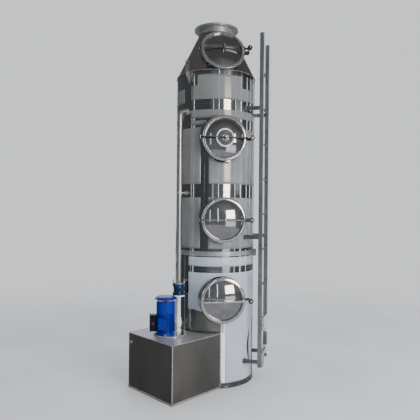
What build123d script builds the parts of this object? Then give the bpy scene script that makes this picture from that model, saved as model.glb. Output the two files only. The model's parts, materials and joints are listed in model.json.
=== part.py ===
from build123d import *
import math
import os

os.makedirs("parts", exist_ok=True)

# Tower shell, in mm: origin on the ground on the tower's axis, +Z up, manholes facing -Y
shell_radius = 400
shell_wall = 4
floor_thickness = 12
floor_rim = 8
joint_band_bottom = 1262
joint_band_height = 40
joint_band_sheet = 3
joint_band_gap = 14
joint_ear_angle = -32
joint_ear_reach = 42
joint_ear_height = 70
joint_ear_thickness = 6
joint_ear_corner = 8
joint_bolt_radius = 6
course_gap = 1
shell_top = 3042
slip_fit = 0.3
running_gap = 0.5
shake_gap = 1

# Cone top with its lip over the shell, and the gas outlet
cone_height = 444
lip_height = 12
lip_thickness = 5
duct_radius = 182
duct_wall = 4
duct_flange_radius = 225
duct_flange_thickness = 16
duct_hole_inset = 20
duct_hole_count = 12
duct_hole_radius = 6
outlet_height = 74

# Gas inlet low on the rear
inlet_height = 800
inlet_stand = 120

# Manholes: three on the shell and one on the cone
neck_radius = 203
neck_wall = 4
seat_stand = 67
manhole_spacing = 771
middle_manhole_rise = 307
lower_manhole_drop = 412
top_manhole_rise = 200
top_manhole_inset = 48
top_manhole_tilt = 20
neck_blank_length = 240
neck_set_in = 4
seat_ring_radius = 213
seat_ring_thickness = 8

# Domed lid with a rolled rim
lid_radius = 215
lid_sheet = 3
rim_width = 31
rim_height = 20
dome_height = 34
dome_step = 4
lid_disc_radius = 80
lid_disc_height = 5

# Arched clamp bar on edge, its hinge and its hand screw
bar_thickness = 8
bar_depth = 38
bar_dome_gap = 6
bar_end_drop = 24
bar_knee_drop = 10
hinge_reach = 236
hinge_rise = 18
hinge_eye_radius = 12
hinge_pin_radius = 5
hinge_pin_end = 2
ear_thickness = 6
ear_root_drop = 42
centre_boss_radius = 13
centre_boss_stand = 6
screw_reach = 252
screw_radius = 6
screw_hole_clearance = 2
screw_tip_depth = 18
screw_pad_radius = 13
screw_pad_thickness = 20
knob_radius = 25
knob_height = 22
knob_lobe_count = 6
knob_lobe_radius = 9
lug_width = 32
lug_thickness = 22
lug_drop = 8

# Sump box beside the shell
sump_angle = -145
sump_end_stand = 437
sump_half_width = 321
sump_top = 522
sump_sheet = 3
sump_base_rim = 6
sump_corner_radius = 8
nipple_radius = 11
nipple_reach = 26
nipple_inset = 62
nipple_drop = 80

# Vertical pump on the sump
pump_plate_radius = 152
pump_plate_margin = 3
pump_plate_thickness = 10
motor_foot_radius = 89
motor_foot_thickness = 12
motor_core_radius = 76
motor_fin_height = 11
motor_fin_root = 2
motor_fin_width = 3
motor_fin_count = 28
motor_fin_rise = 28
motor_height = 202
cowl_radius = 88
cowl_height = 108
cowl_sheet = 2
cowl_roof = 14
cap_radius = 102
cap_gap = 22
cap_rise = 12
cap_rim = 12
cap_sheet = 3
cap_stud_radius = 5
cap_stud_inset = 20
cap_stud_count = 4
box_height = 160
box_rise = 34
box_width = 96
box_depth = 62
box_lid = 8
box_angle = -35

# Discharge line: plastic pipe, flexible joint, steel riser with elbow
riser_stand = 88
riser_radius = 21
riser_wall = 2.5
plastic_pipe_radius = 20
plastic_pipe_wall = 3
pipe_collar = 8
pipe_collar_height = 14
union_rise = 40
union_length = 96
union_radius = 31
union_shoulder = 6
union_end = 30
pipe_flange_radius = 57
pipe_flange_thickness = 13
pipe_flange_hub = 16
joint_rise = 350
joint_length = 108
joint_rim = 19
joint_flange_radius = 59
joint_waist_radius = 40
joint_bulge_radius = 50
elbow_drop = 385
elbow_radius = 54
boss_radius = 30
boss_length = 12
bracket_height = 1865
bracket_rod_radius = 9
bracket_pad_radius = 19
bracket_clip_width = 26
bracket_clip_thickness = 4

# Spray header and packing support grids inside
nozzle_radius = 13
nozzle_length = 34
nozzle_spacing = 130
nozzle_count = 5
grid_drop = 300
grid_depth = 16
grid_bar_width = 6
grid_bar_count = 9

# Side ladder
ladder_angle = -25
ladder_stand = 108
ladder_width = 370
rail_depth = 42
rail_width = 20
rail_corner = 5
ladder_bottom = 175
ladder_top = 3430
rung_radius = 10
rung_spacing = 350
rung_count = 9
first_rung_height = 265
stay_heights = (226, 1440, 2700)
stay_height = 38
stay_thickness = 8

# Lifting lugs at the top of the shell
lifting_angle = -141
lug_plate_drop = 112
lug_plate_rise = 108
lug_plate_reach = 46
lug_plate_thickness = 12
lug_eye_rise = 76
lug_eye_radius = 14

# Worked-out sizes
inner_radius = shell_radius - shell_wall
joint_band_top = joint_band_bottom + joint_band_height
joint_middle_height = (joint_band_bottom + joint_band_top) / 2
lower_shell_top = joint_middle_height - course_gap / 2
upper_shell_bottom = joint_middle_height + course_gap / 2
cone_top_height = shell_top + cone_height
cone_slope = (shell_radius - duct_radius) / cone_height
duct_bore_radius = duct_radius - duct_wall
duct_hole_circle_radius = duct_flange_radius - duct_hole_inset
outlet_top = cone_top_height + outlet_height
inlet_reach = shell_radius + inlet_stand
hole_clear_radius = neck_radius + slip_fit
seat_reach = shell_radius + seat_stand
middle_manhole_height = joint_band_top + middle_manhole_rise
upper_manhole_height = middle_manhole_height + manhole_spacing
lower_manhole_height = joint_band_bottom - lower_manhole_drop
top_manhole_height = shell_top + top_manhole_rise
top_manhole_reach = shell_radius - top_manhole_inset
rim_inner_radius = lid_radius - rim_width
bar_back = dome_height + bar_dome_gap
bar_front = bar_back + bar_depth
ear_gap = bar_thickness / 2 + shake_gap
pad_back = bar_front - bar_end_drop - screw_pad_thickness
pad_front = pad_back + screw_pad_thickness
sump_end_reach = shell_radius + sump_end_stand
riser_reach = shell_radius + riser_stand
pump_reach = riser_reach + pipe_flange_radius + cap_radius + shake_gap
pump_plate_reach = pump_reach + motor_foot_radius + pump_plate_margin - pump_plate_radius
plate_top = sump_top + pump_plate_thickness
motor_fin_bottom = plate_top + motor_fin_rise
motor_top = plate_top + motor_height
cowl_top = motor_top + cowl_height
cap_bottom = cowl_top + cap_gap
cap_stud_circle_radius = cowl_radius - cap_stud_inset
box_bottom = plate_top + box_rise
union_bottom = plate_top + union_rise
union_top = union_bottom + union_length
joint_bottom = plate_top + joint_rise
joint_top = joint_bottom + joint_length
elbow_height = shell_top - elbow_drop
header_radius = riser_radius
ladder_reach = shell_radius + ladder_stand
lug_plate_bottom = shell_top - lug_plate_drop
lug_plate_top = shell_top + lug_plate_rise
lug_eye_height = shell_top + lug_eye_rise


def save(part, name):
    part.label = name
    export_step(part, f"parts/{name}.step")


def turned(angle, height=0):
    """Horizontal plane whose X axis points outward at this angle round the tower."""
    outward = (math.cos(math.radians(angle)), math.sin(math.radians(angle)), 0)
    return Plane(origin=(0, 0, height), x_dir=outward, z_dir=(0, 0, 1))


def upright(angle):
    """Vertical plane through the tower's axis: X is the distance out, Y is the height."""
    level = turned(angle)
    return Plane(origin=(0, 0, 0), x_dir=level.x_dir, z_dir=-level.y_dir)


def standing(angle, reach):
    """The same vertical plane, with its Y axis moved out to an upright part at this reach."""
    level = turned(angle)
    return Plane(origin=level.x_dir * reach, x_dir=level.x_dir, z_dir=-level.y_dir)


def facing(angle, reach, height, tilt=0):
    """Plane of a nozzle's face: Z points out of the tower, Y up, tilted back by tilt."""
    level = turned(angle)
    outward = level.x_dir * math.cos(math.radians(tilt)) + Vector(0, 0, math.sin(math.radians(tilt)))
    return Plane(origin=level.x_dir * reach + Vector(0, 0, height), x_dir=level.y_dir, z_dir=outward)


def crown_middle(radius, base, rise):
    """Point half way along the arc of a dome, from its rim to its top on the axis."""
    sphere = (radius**2 + rise**2) / (2 * rise)
    half_angle = math.asin(radius / sphere) / 2
    return (sphere * math.sin(half_angle), base + rise - sphere * (1 - math.cos(half_angle)))


# The space inside the shell and cone, which trims every neck that is set into the wall
with BuildPart() as inside:
    with BuildSketch(Plane.XZ):
        with BuildLine():
            set_in_radius = inner_radius - neck_set_in
            Polyline(
                (0, 0),
                (set_in_radius, 0),
                (set_in_radius, shell_top),
                (set_in_radius - cone_slope * cone_height, cone_top_height),
                (0, cone_top_height),
                close=True,
            )
        make_face()
    revolve(axis=Axis.Z)

manholes = {
    "top": facing(-90, top_manhole_reach, top_manhole_height, top_manhole_tilt),
    "upper": facing(-90, seat_reach, upper_manhole_height),
    "middle": facing(-90, seat_reach, middle_manhole_height),
    "lower": facing(-90, seat_reach, lower_manhole_height),
}
inlet_face = facing(90, inlet_reach, inlet_height)
riser_face = facing(sump_angle, shell_radius + boss_length, elbow_height)

# The holes that the necks, the inlet and the spray pipe pass through
with BuildPart() as wall_holes:
    for face in manholes.values():
        with BuildSketch(face):
            Circle(hole_clear_radius)
        extrude(amount=-neck_blank_length)
    with BuildSketch(inlet_face):
        Circle(duct_radius + slip_fit)
    extrude(amount=-neck_blank_length)
    with BuildSketch(riser_face):
        Circle(riser_radius + slip_fit)
    extrude(amount=-boss_length - neck_blank_length)

# Tank floor
with BuildPart() as tank_floor:
    with BuildSketch():
        Circle(shell_radius + floor_rim)
    extrude(amount=floor_thickness)
    chamfer(tank_floor.edges().group_by(Axis.Z)[-1], length=floor_rim / 4)
save(tank_floor.part, "tank_floor")

# Shell courses, each in four quarters
quarters = ("rear_right", "rear_left", "front_left", "front_right")
courses = {"lower": (floor_thickness, lower_shell_top), "upper": (upper_shell_bottom, shell_top)}
for course, (bottom, top) in courses.items():
    for index, quarter in enumerate(quarters):
        with BuildPart() as shell_quarter:
            with BuildSketch(Plane.XY.offset(bottom)):
                Circle(shell_radius)
                Circle(inner_radius, mode=Mode.SUBTRACT)
                corner = (Align.MIN, Align.MIN)
                Rectangle(shell_radius, shell_radius, 90 * index, corner, mode=Mode.INTERSECT)
            extrude(amount=top - bottom)
            add(wall_holes.part, mode=Mode.SUBTRACT)
        save(shell_quarter.part, f"{course}_shell_{quarter}")

# Band round the joint of the courses, drawn together by a bolt through its two ears
with BuildPart() as joint_band:
    with BuildSketch(Plane.XY.offset(joint_band_bottom)):
        Circle(shell_radius + slip_fit + joint_band_sheet)
    extrude(amount=joint_band_height)
    fillet(joint_band.edges(), radius=joint_band_sheet / 2)
    ear_level = turned(joint_ear_angle, joint_middle_height - joint_ear_height / 2)
    with BuildSketch(ear_level):
        ear_end = shell_radius + slip_fit + joint_band_sheet + joint_ear_reach
        Rectangle(ear_end, joint_band_gap + 2 * joint_ear_thickness, align=(Align.MIN, Align.CENTER))
    extrude(amount=joint_ear_height)
    ear_axis = Axis((0, 0, 0), ear_level.y_dir)
    ear_tips = joint_band.edges().filter_by(ear_axis).sort_by(Axis((0, 0, 0), ear_level.x_dir))
    fillet(ear_tips[-2:], radius=joint_ear_corner)
    with BuildSketch(ear_level):
        Rectangle(ear_end, joint_band_gap, align=(Align.MIN, Align.CENTER))
    extrude(amount=joint_ear_height, mode=Mode.SUBTRACT)
    with BuildSketch(Plane(origin=ear_level.origin, x_dir=ear_level.x_dir, z_dir=-ear_level.y_dir)):
        with Locations((ear_end - joint_ear_reach / 2, joint_ear_height / 2)):
            Circle(joint_bolt_radius)
    extrude(amount=joint_band_gap + joint_ear_thickness, both=True, mode=Mode.SUBTRACT)
    with BuildSketch(Plane.XY.offset(joint_middle_height - joint_ear_height)):
        Circle(shell_radius + slip_fit)
    extrude(amount=2 * joint_ear_height, mode=Mode.SUBTRACT)
save(joint_band.part, "joint_band")

# Cone top with a lip over the shell's upper edge
with BuildPart() as cone_top:
    with BuildSketch(Plane.XZ):
        with BuildLine():
            lip_outer = shell_radius + slip_fit + lip_thickness
            Polyline(
                (shell_radius + slip_fit, shell_top - lip_height),
                (lip_outer, shell_top - lip_height),
                (lip_outer, shell_top),
                (shell_radius + slip_fit, shell_top + lip_thickness),
                (duct_radius, cone_top_height),
                (duct_bore_radius, cone_top_height),
                (inner_radius, shell_top),
                (shell_radius + slip_fit, shell_top),
                close=True,
            )
        make_face()
    revolve(axis=Axis.Z)
    add(wall_holes.part, mode=Mode.SUBTRACT)
save(cone_top.part, "cone_top")

# Gas outlet: a short duct with a drilled flange
with BuildPart() as gas_outlet:
    with BuildSketch(Plane.XY.offset(cone_top_height)):
        Circle(duct_radius)
    extrude(amount=outlet_height)
    with BuildSketch(Plane.XY.offset(outlet_top)):
        Circle(duct_flange_radius)
    extrude(amount=-duct_flange_thickness)
    with BuildSketch(Plane.XY.offset(outlet_top)):
        Circle(duct_bore_radius)
        with PolarLocations(duct_hole_circle_radius, duct_hole_count):
            Circle(duct_hole_radius)
    extrude(amount=-outlet_height, mode=Mode.SUBTRACT)
save(gas_outlet.part, "gas_outlet")

# Gas inlet: the same duct, set into the rear of the shell
with BuildPart() as gas_inlet:
    with BuildSketch(inlet_face):
        Circle(duct_radius)
    extrude(amount=-neck_blank_length)
    with BuildSketch(inlet_face):
        Circle(duct_flange_radius)
    extrude(amount=-duct_flange_thickness)
    with BuildSketch(inlet_face):
        Circle(duct_bore_radius)
        with PolarLocations(duct_hole_circle_radius, duct_hole_count):
            Circle(duct_hole_radius)
    extrude(amount=-neck_blank_length, mode=Mode.SUBTRACT)
    add(inside.part, mode=Mode.SUBTRACT)
save(gas_inlet.part, "gas_inlet")

# Manholes: neck with seat ring, hinge ears and screw lug, domed lid, clamp bar, hand screw
for name, face in manholes.items():
    section = Plane(origin=face.origin, x_dir=face.x_dir, z_dir=-face.y_dir)
    swing_axis = Axis(face.origin, face.z_dir)

    with BuildPart() as neck:
        with BuildSketch(face):
            Circle(neck_radius)
        extrude(amount=-neck_blank_length)
        with BuildSketch(face):
            Circle(seat_ring_radius)
        extrude(amount=-seat_ring_thickness)
        with BuildSketch(section):
            with BuildLine():
                outer = (-hinge_reach - hinge_eye_radius, hinge_rise)
                inner = (-hinge_reach + hinge_eye_radius, hinge_rise)
                over = (-hinge_reach, hinge_rise + hinge_eye_radius)
                ThreePointArc(outer, over, inner)
                Polyline(
                    inner,
                    (-hinge_reach + hinge_eye_radius, -seat_ring_thickness),
                    (-neck_radius + neck_wall / 2, -seat_ring_thickness),
                    (-neck_radius + neck_wall / 2, -ear_root_drop),
                    outer,
                )
            make_face()
            with Locations((-hinge_reach, hinge_rise)):
                Circle(hinge_pin_radius, mode=Mode.SUBTRACT)
        extrude(amount=ear_gap + ear_thickness, both=True)
        with BuildSketch(section):
            with Locations((-hinge_reach, hinge_rise / 2)):
                Rectangle(2 * hinge_eye_radius + 2 * shake_gap, hinge_rise + 4 * hinge_eye_radius)
        extrude(amount=ear_gap, both=True, mode=Mode.SUBTRACT)
        with BuildSketch(section):
            with Locations((-hinge_reach, hinge_rise)):
                Circle(hinge_pin_radius)
        extrude(amount=ear_gap + ear_thickness + hinge_pin_end, both=True)
        with BuildSketch(face.offset(-lug_drop)):
            with BuildLine():
                lug_end = screw_reach + lug_width / 2
                Polyline(
                    (neck_radius - neck_wall / 2, lug_width / 2),
                    (screw_reach, lug_width / 2),
                )
                ThreePointArc(
                    (screw_reach, lug_width / 2), (lug_end, 0), (screw_reach, -lug_width / 2)
                )
                Polyline(
                    (screw_reach, -lug_width / 2),
                    (neck_radius - neck_wall / 2, -lug_width / 2),
                    (neck_radius - neck_wall / 2, lug_width / 2),
                )
            make_face()
            with Locations((screw_reach, 0)):
                Circle(screw_radius + screw_hole_clearance, mode=Mode.SUBTRACT)
        extrude(amount=-lug_thickness)
        with BuildSketch(face):
            Circle(neck_radius - neck_wall)
        extrude(amount=-neck_blank_length, mode=Mode.SUBTRACT)
        add(inside.part, mode=Mode.SUBTRACT)
    save(neck.part, f"{name}_manhole_neck")

    has_disc = name == "upper"
    with BuildPart() as lid:
        with BuildSketch(section):
            with BuildLine():
                rim_middle = lid_radius - rim_width / 2
                dome_base = slip_fit + dome_step
                dome_top = slip_fit + dome_height
                dome_rise = dome_top - dome_base
                ThreePointArc(
                    (0, dome_top),
                    crown_middle(rim_inner_radius, dome_base, dome_rise),
                    (rim_inner_radius, dome_base),
                )
                ThreePointArc(
                    (rim_inner_radius, dome_base),
                    (rim_middle, rim_height),
                    (lid_radius, slip_fit),
                )
                Line((lid_radius, slip_fit), (lid_radius - lid_sheet, slip_fit))
                ThreePointArc(
                    (lid_radius - lid_sheet, slip_fit),
                    (rim_middle, rim_height - lid_sheet),
                    (rim_inner_radius + lid_sheet, dome_base - lid_sheet),
                )
                Line(
                    (rim_inner_radius + lid_sheet, dome_base - lid_sheet),
                    (rim_inner_radius, dome_base - lid_sheet),
                )
                ThreePointArc(
                    (rim_inner_radius, dome_base - lid_sheet),
                    crown_middle(rim_inner_radius, dome_base - lid_sheet, dome_rise),
                    (0, dome_top - lid_sheet),
                )
                Line((0, dome_top - lid_sheet), (0, dome_top))
            make_face()
        revolve(axis=swing_axis)
        if has_disc:
            with BuildSketch(face.offset(dome_height - lid_disc_height)):
                Circle(lid_disc_radius)
                Circle(lid_disc_radius - 2 * lid_disc_height, mode=Mode.SUBTRACT)
            extrude(amount=lid_disc_height)
    save(lid.part, f"{name}_manhole_lid")

    with BuildPart() as clamp_bar:
        with BuildSketch(section):
            with BuildLine():
                eye_top = (-hinge_reach, hinge_rise + hinge_eye_radius)
                eye_low = (-hinge_reach, hinge_rise - hinge_eye_radius)
                eye_left = (-hinge_reach - hinge_eye_radius, hinge_rise)
                ThreePointArc(eye_top, eye_left, eye_low)
                Polyline(
                    eye_low,
                    (-rim_inner_radius, bar_back - bar_knee_drop),
                    (-rim_inner_radius + rim_width, bar_back),
                    (rim_inner_radius - rim_width, bar_back),
                    (rim_inner_radius, bar_back - bar_knee_drop),
                    (screw_reach, pad_back),
                    (screw_reach, pad_front),
                    (lid_radius, pad_front),
                    (rim_inner_radius, bar_front),
                    (-rim_inner_radius, bar_front),
                    eye_top,
                )
            make_face()
            with Locations((-hinge_reach, hinge_rise)):
                Circle(hinge_pin_radius + running_gap, mode=Mode.SUBTRACT)
        extrude(amount=bar_thickness / 2, both=True)
        with BuildSketch(face.offset(dome_height + slip_fit)):
            Circle(centre_boss_radius)
        extrude(amount=bar_front + centre_boss_stand - dome_height - slip_fit)
        with BuildSketch(face.offset(pad_back)):
            with Locations((screw_reach, 0)):
                Circle(screw_pad_radius)
        extrude(amount=screw_pad_thickness)
        with BuildSketch(face):
            with Locations((screw_reach, 0)):
                Circle(screw_radius + slip_fit)
        extrude(amount=bar_front, mode=Mode.SUBTRACT)
    save(clamp_bar.part, f"{name}_clamp_bar")

    with BuildPart() as hand_screw:
        with BuildSketch(face.offset(-screw_tip_depth)):
            with Locations((screw_reach, 0)):
                Circle(screw_radius)
        extrude(amount=screw_tip_depth + pad_front + slip_fit)
        with BuildSketch(face.offset(pad_front + slip_fit)):
            with Locations((screw_reach, 0)):
                Circle(knob_radius - knob_lobe_radius / 2)
                with PolarLocations(knob_radius - knob_lobe_radius, knob_lobe_count):
                    Circle(knob_lobe_radius)
        extrude(amount=knob_height)
        fillet(hand_screw.faces().sort_by(swing_axis)[-1].edges(), radius=3)
    save(hand_screw.part, f"{name}_hand_screw")

# Sump box: base plate, folded walls with a nipple, and cover
sump_level = turned(sump_angle)
with BuildPart() as sump_base:
    with BuildSketch(sump_level):
        base_corner = (Align.MIN, Align.CENTER)
        base_length = sump_end_reach + sump_base_rim
        Rectangle(base_length, 2 * (sump_half_width + sump_base_rim), align=base_corner)
        Circle(shell_radius + floor_rim, mode=Mode.SUBTRACT)
        with Locations((0, 0)):
            Rectangle(shell_radius / 2, 2 * shell_radius, align=base_corner, mode=Mode.SUBTRACT)
    extrude(amount=floor_thickness)
save(sump_base.part, "sump_base")

with BuildPart() as sump_walls:
    with BuildSketch(sump_level.offset(floor_thickness)):
        Rectangle(sump_end_reach, 2 * sump_half_width, align=base_corner)
    extrude(amount=sump_top - sump_sheet - floor_thickness)
    outer_corners = sump_walls.edges().filter_by(Axis.Z).sort_by(Axis((0, 0, 0), sump_level.x_dir))
    fillet(outer_corners[-2:], radius=sump_corner_radius)
    with BuildSketch(sump_level.offset(floor_thickness)):
        hollow_length = sump_end_reach - sump_sheet
        Rectangle(hollow_length, 2 * (sump_half_width - sump_sheet), align=base_corner)
    extrude(amount=sump_top - sump_sheet - floor_thickness, mode=Mode.SUBTRACT)
    with BuildSketch(Plane.XY):
        Circle(shell_radius)
    extrude(amount=sump_top, mode=Mode.SUBTRACT)
    nipple_face = facing(sump_angle, sump_end_reach + nipple_reach, sump_top - nipple_drop)
    with BuildSketch(nipple_face):
        with Locations((nipple_inset - sump_half_width, 0)):
            Circle(nipple_radius)
    extrude(amount=-nipple_reach - sump_sheet)
    with BuildSketch(nipple_face):
        with Locations((nipple_inset - sump_half_width, 0)):
            Circle(nipple_radius - sump_sheet)
    extrude(amount=-nipple_reach - sump_sheet, mode=Mode.SUBTRACT)
save(sump_walls.part, "sump_walls")

with BuildPart() as sump_cover:
    with BuildSketch(sump_level.offset(sump_top - sump_sheet)):
        Rectangle(sump_end_reach, 2 * sump_half_width, align=base_corner)
        Circle(shell_radius, mode=Mode.SUBTRACT)
        Rectangle(shell_radius / 2, 2 * shell_radius, align=base_corner, mode=Mode.SUBTRACT)
    extrude(amount=sump_sheet)
    cover_corners = sump_cover.edges().filter_by(Axis.Z).sort_by(Axis((0, 0, 0), sump_level.x_dir))
    fillet(cover_corners[-2:], radius=sump_corner_radius)
save(sump_cover.part, "sump_cover")

# Pump: round base plate, finned motor, fan cowl, rain cap and terminal box
with BuildPart() as pump_plate:
    with BuildSketch(sump_level.offset(sump_top)):
        with Locations((pump_plate_reach, 0)):
            Circle(pump_plate_radius)
    extrude(amount=pump_plate_thickness)
    chamfer(pump_plate.edges().group_by(Axis.Z)[-1], length=2)
save(pump_plate.part, "pump_plate")

with BuildPart() as pump_motor:
    with BuildSketch(sump_level.offset(plate_top)):
        with Locations((pump_reach, 0)):
            Circle(motor_foot_radius)
    extrude(amount=motor_foot_thickness)
    with BuildSketch(sump_level.offset(plate_top)):
        with Locations((pump_reach, 0)):
            Circle(motor_core_radius)
    extrude(amount=motor_top - plate_top)
    with BuildSketch(sump_level.offset(motor_fin_bottom)):
        with Locations((pump_reach, 0)):
            fin_middle = motor_core_radius + (motor_fin_height - motor_fin_root) / 2
            with PolarLocations(fin_middle, motor_fin_count):
                Rectangle(motor_fin_height + motor_fin_root, motor_fin_width)
    extrude(amount=motor_top - motor_fin_bottom)
save(pump_motor.part, "pump_motor")

with BuildPart() as fan_cowl:
    with BuildSketch(sump_level.offset(motor_top)):
        with Locations((pump_reach, 0)):
            Circle(cowl_radius)
    extrude(amount=cowl_top - motor_top)
    fillet(fan_cowl.edges().group_by(Axis.Z)[-1], radius=cowl_roof / 2)
    with BuildSketch(sump_level.offset(motor_top)):
        with Locations((pump_reach, 0)):
            Circle(cowl_radius - cowl_sheet)
    extrude(amount=cowl_top - motor_top - cowl_roof, mode=Mode.SUBTRACT)
    with BuildSketch(sump_level.offset(cowl_top)):
        with Locations((pump_reach, 0)):
            with PolarLocations(cap_stud_circle_radius, cap_stud_count, 45):
                Circle(cap_stud_radius)
    extrude(amount=cap_bottom + cap_rim - cowl_top)
save(fan_cowl.part, "fan_cowl")

with BuildPart() as rain_cap:
    with BuildSketch(standing(sump_angle, pump_reach)):
        with BuildLine():
            cap_top = cap_bottom + cap_rim + cap_rise
            Polyline(
                (0, cap_bottom + cap_rim),
                (cap_radius - cap_sheet, cap_bottom + cap_rim),
                (cap_radius - cap_sheet, cap_bottom),
                (cap_radius, cap_bottom),
                (cap_radius, cap_bottom + cap_rim),
            )
            ThreePointArc(
                (cap_radius, cap_bottom + cap_rim),
                crown_middle(cap_radius, cap_bottom + cap_rim, cap_rise),
                (0, cap_top),
            )
            Line((0, cap_top), (0, cap_bottom + cap_rim))
        make_face()
    revolve(axis=Axis(sump_level.x_dir * pump_reach, (0, 0, 1)))
save(rain_cap.part, "rain_cap")

box_level = turned(sump_angle + box_angle, box_bottom + box_height / 2)
box_stand = motor_core_radius + motor_fin_height + slip_fit
box_root = sump_level.x_dir * pump_reach + box_level.x_dir * box_stand + box_level.origin
box_plane = Plane(origin=box_root, x_dir=box_level.y_dir, z_dir=box_level.x_dir)
with BuildPart() as terminal_box:
    with BuildSketch(box_plane):
        RectangleRounded(box_width - box_lid, box_height - box_lid, box_lid)
    extrude(amount=box_depth - box_lid)
    with BuildSketch(box_plane.offset(box_depth - box_lid)):
        RectangleRounded(box_width, box_height, box_lid)
    extrude(amount=box_lid)
    box_axis = Axis(box_plane.origin, box_plane.z_dir)
    fillet(terminal_box.faces().sort_by(box_axis)[-1].edges(), radius=box_lid / 4)
save(terminal_box.part, "terminal_box")

# Discharge line from the pump: plastic pipe with union and flange
with BuildPart() as discharge_pipe:
    pipe_bore = plastic_pipe_radius - plastic_pipe_wall
    collar_radius = plastic_pipe_radius + pipe_collar
    socket_radius = plastic_pipe_radius + union_shoulder
    flange_back = joint_bottom - pipe_flange_thickness
    with BuildSketch(standing(sump_angle, riser_reach)):
        with BuildLine():
            Polyline(
                (pipe_bore, plate_top),
                (collar_radius, plate_top),
                (collar_radius, plate_top + pipe_collar_height),
                (plastic_pipe_radius, plate_top + pipe_collar_height + plastic_pipe_wall),
                (plastic_pipe_radius, union_bottom),
                (socket_radius, union_bottom + union_shoulder),
                (socket_radius, union_bottom + union_end),
                (union_radius, union_bottom + union_end + plastic_pipe_wall),
                (union_radius, union_top - union_end - plastic_pipe_wall),
                (socket_radius, union_top - union_end),
                (socket_radius, union_top - union_shoulder),
                (plastic_pipe_radius, union_top),
                (plastic_pipe_radius, flange_back - pipe_flange_hub),
                (socket_radius, flange_back),
                (pipe_flange_radius, flange_back),
                (pipe_flange_radius, joint_bottom),
                (pipe_bore, joint_bottom),
                close=True,
            )
        make_face()
    revolve(axis=Axis(sump_level.x_dir * riser_reach, (0, 0, 1)))
save(discharge_pipe.part, "discharge_pipe")

# Flexible joint: two flanges and the moulded body between them
with BuildPart() as flexible_joint:
    with BuildSketch(standing(sump_angle, riser_reach)):
        with BuildLine():
            joint_middle = (joint_bottom + joint_top) / 2
            Polyline(
                (joint_waist_radius, joint_bottom + joint_rim),
                (joint_flange_radius, joint_bottom + joint_rim),
                (joint_flange_radius, joint_bottom),
                (riser_radius - riser_wall, joint_bottom),
                (riser_radius - riser_wall, joint_top),
                (joint_flange_radius, joint_top),
                (joint_flange_radius, joint_top - joint_rim),
                (joint_waist_radius, joint_top - joint_rim),
            )
            ThreePointArc(
                (joint_waist_radius, joint_top - joint_rim),
                (joint_bulge_radius, joint_middle),
                (joint_waist_radius, joint_bottom + joint_rim),
            )
        make_face()
    revolve(axis=Axis(sump_level.x_dir * riser_reach, (0, 0, 1)))
save(flexible_joint.part, "flexible_joint")

with BuildPart() as riser_flange:
    with BuildSketch(sump_level.offset(joint_top)):
        with Locations((riser_reach, 0)):
            Circle(joint_flange_radius)
            Circle(riser_radius + slip_fit, mode=Mode.SUBTRACT)
    extrude(amount=pipe_flange_thickness)
save(riser_flange.part, "riser_flange")

# Steel riser, bent into the shell at the spray level
with BuildPart() as riser_pipe:
    with BuildLine(upright(sump_angle)) as riser_route:
        FilletPolyline(
            (riser_reach, joint_top),
            (riser_reach, elbow_height),
            (inner_radius - neck_set_in, elbow_height),
            radius=elbow_radius,
        )
    with BuildSketch(sump_level.offset(joint_top)):
        with Locations((riser_reach, 0)):
            Circle(riser_radius)
            Circle(riser_radius - riser_wall, mode=Mode.SUBTRACT)
    sweep(path=riser_route.line)
save(riser_pipe.part, "riser_pipe")

# Collar where the riser enters the shell, and the stand-off that steadies it half way up
with BuildPart() as riser_boss:
    with BuildSketch(riser_face):
        Circle(boss_radius)
    extrude(amount=-2 * boss_length)
    with BuildSketch(riser_face):
        Circle(riser_radius + slip_fit)
    extrude(amount=-2 * boss_length, mode=Mode.SUBTRACT)
    with BuildSketch(Plane.XY.offset(elbow_height - 2 * boss_radius)):
        Circle(shell_radius)
    extrude(amount=4 * boss_radius, mode=Mode.SUBTRACT)
save(riser_boss.part, "riser_boss")

clip_radius = riser_radius + slip_fit + bracket_clip_thickness
rod_start = riser_reach - clip_radius + bracket_clip_thickness / 2
with BuildPart() as riser_bracket:
    with BuildSketch(sump_level.offset(bracket_height - bracket_clip_width / 2)):
        with Locations((riser_reach, 0)):
            Circle(clip_radius)
            Circle(riser_radius + slip_fit, mode=Mode.SUBTRACT)
    extrude(amount=bracket_clip_width)
    with BuildSketch(facing(sump_angle, rod_start, bracket_height)):
        Circle(bracket_rod_radius)
    extrude(amount=shell_radius - rod_start)
    with BuildSketch(facing(sump_angle, shell_radius + boss_length, bracket_height)):
        Circle(bracket_pad_radius)
    extrude(amount=-2 * boss_length)
    with BuildSketch(Plane.XY.offset(bracket_height - 2 * boss_radius)):
        Circle(shell_radius)
    extrude(amount=4 * boss_radius, mode=Mode.SUBTRACT)
save(riser_bracket.part, "riser_bracket")

# Spray header across the shell, with its nozzles pointing down
header_reach = inner_radius - neck_set_in - slip_fit
with BuildPart() as spray_header:
    header_start = facing(sump_angle, header_reach, elbow_height)
    with BuildSketch(header_start):
        Circle(header_radius)
    extrude(amount=-2 * inner_radius)
    with BuildSketch(sump_level.offset(elbow_height)):
        with GridLocations(nozzle_spacing, 1, nozzle_count, 1):
            Circle(nozzle_radius)
    extrude(amount=-header_radius - nozzle_length, taper=8)
    with BuildSketch(Plane.XY.offset(elbow_height - 2 * header_radius - nozzle_length)):
        Circle(inner_radius - slip_fit)
    extrude(amount=4 * header_radius + nozzle_length, mode=Mode.INTERSECT)
save(spray_header.part, "spray_header")

# Packing support grids under the two manholes: bars on edge from wall to wall
with BuildPart() as packing_grids:
    for height in (middle_manhole_height - grid_drop, upper_manhole_height - grid_drop):
        with BuildSketch(Plane.XY.offset(height)):
            bar_pitch = 2 * inner_radius / (grid_bar_count + 1)
            with GridLocations(bar_pitch, 1, grid_bar_count, 1):
                Rectangle(grid_bar_width, 2 * inner_radius)
            Circle(inner_radius - slip_fit, mode=Mode.INTERSECT)
        extrude(amount=grid_depth)
save(packing_grids.part, "packing_grids")

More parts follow.
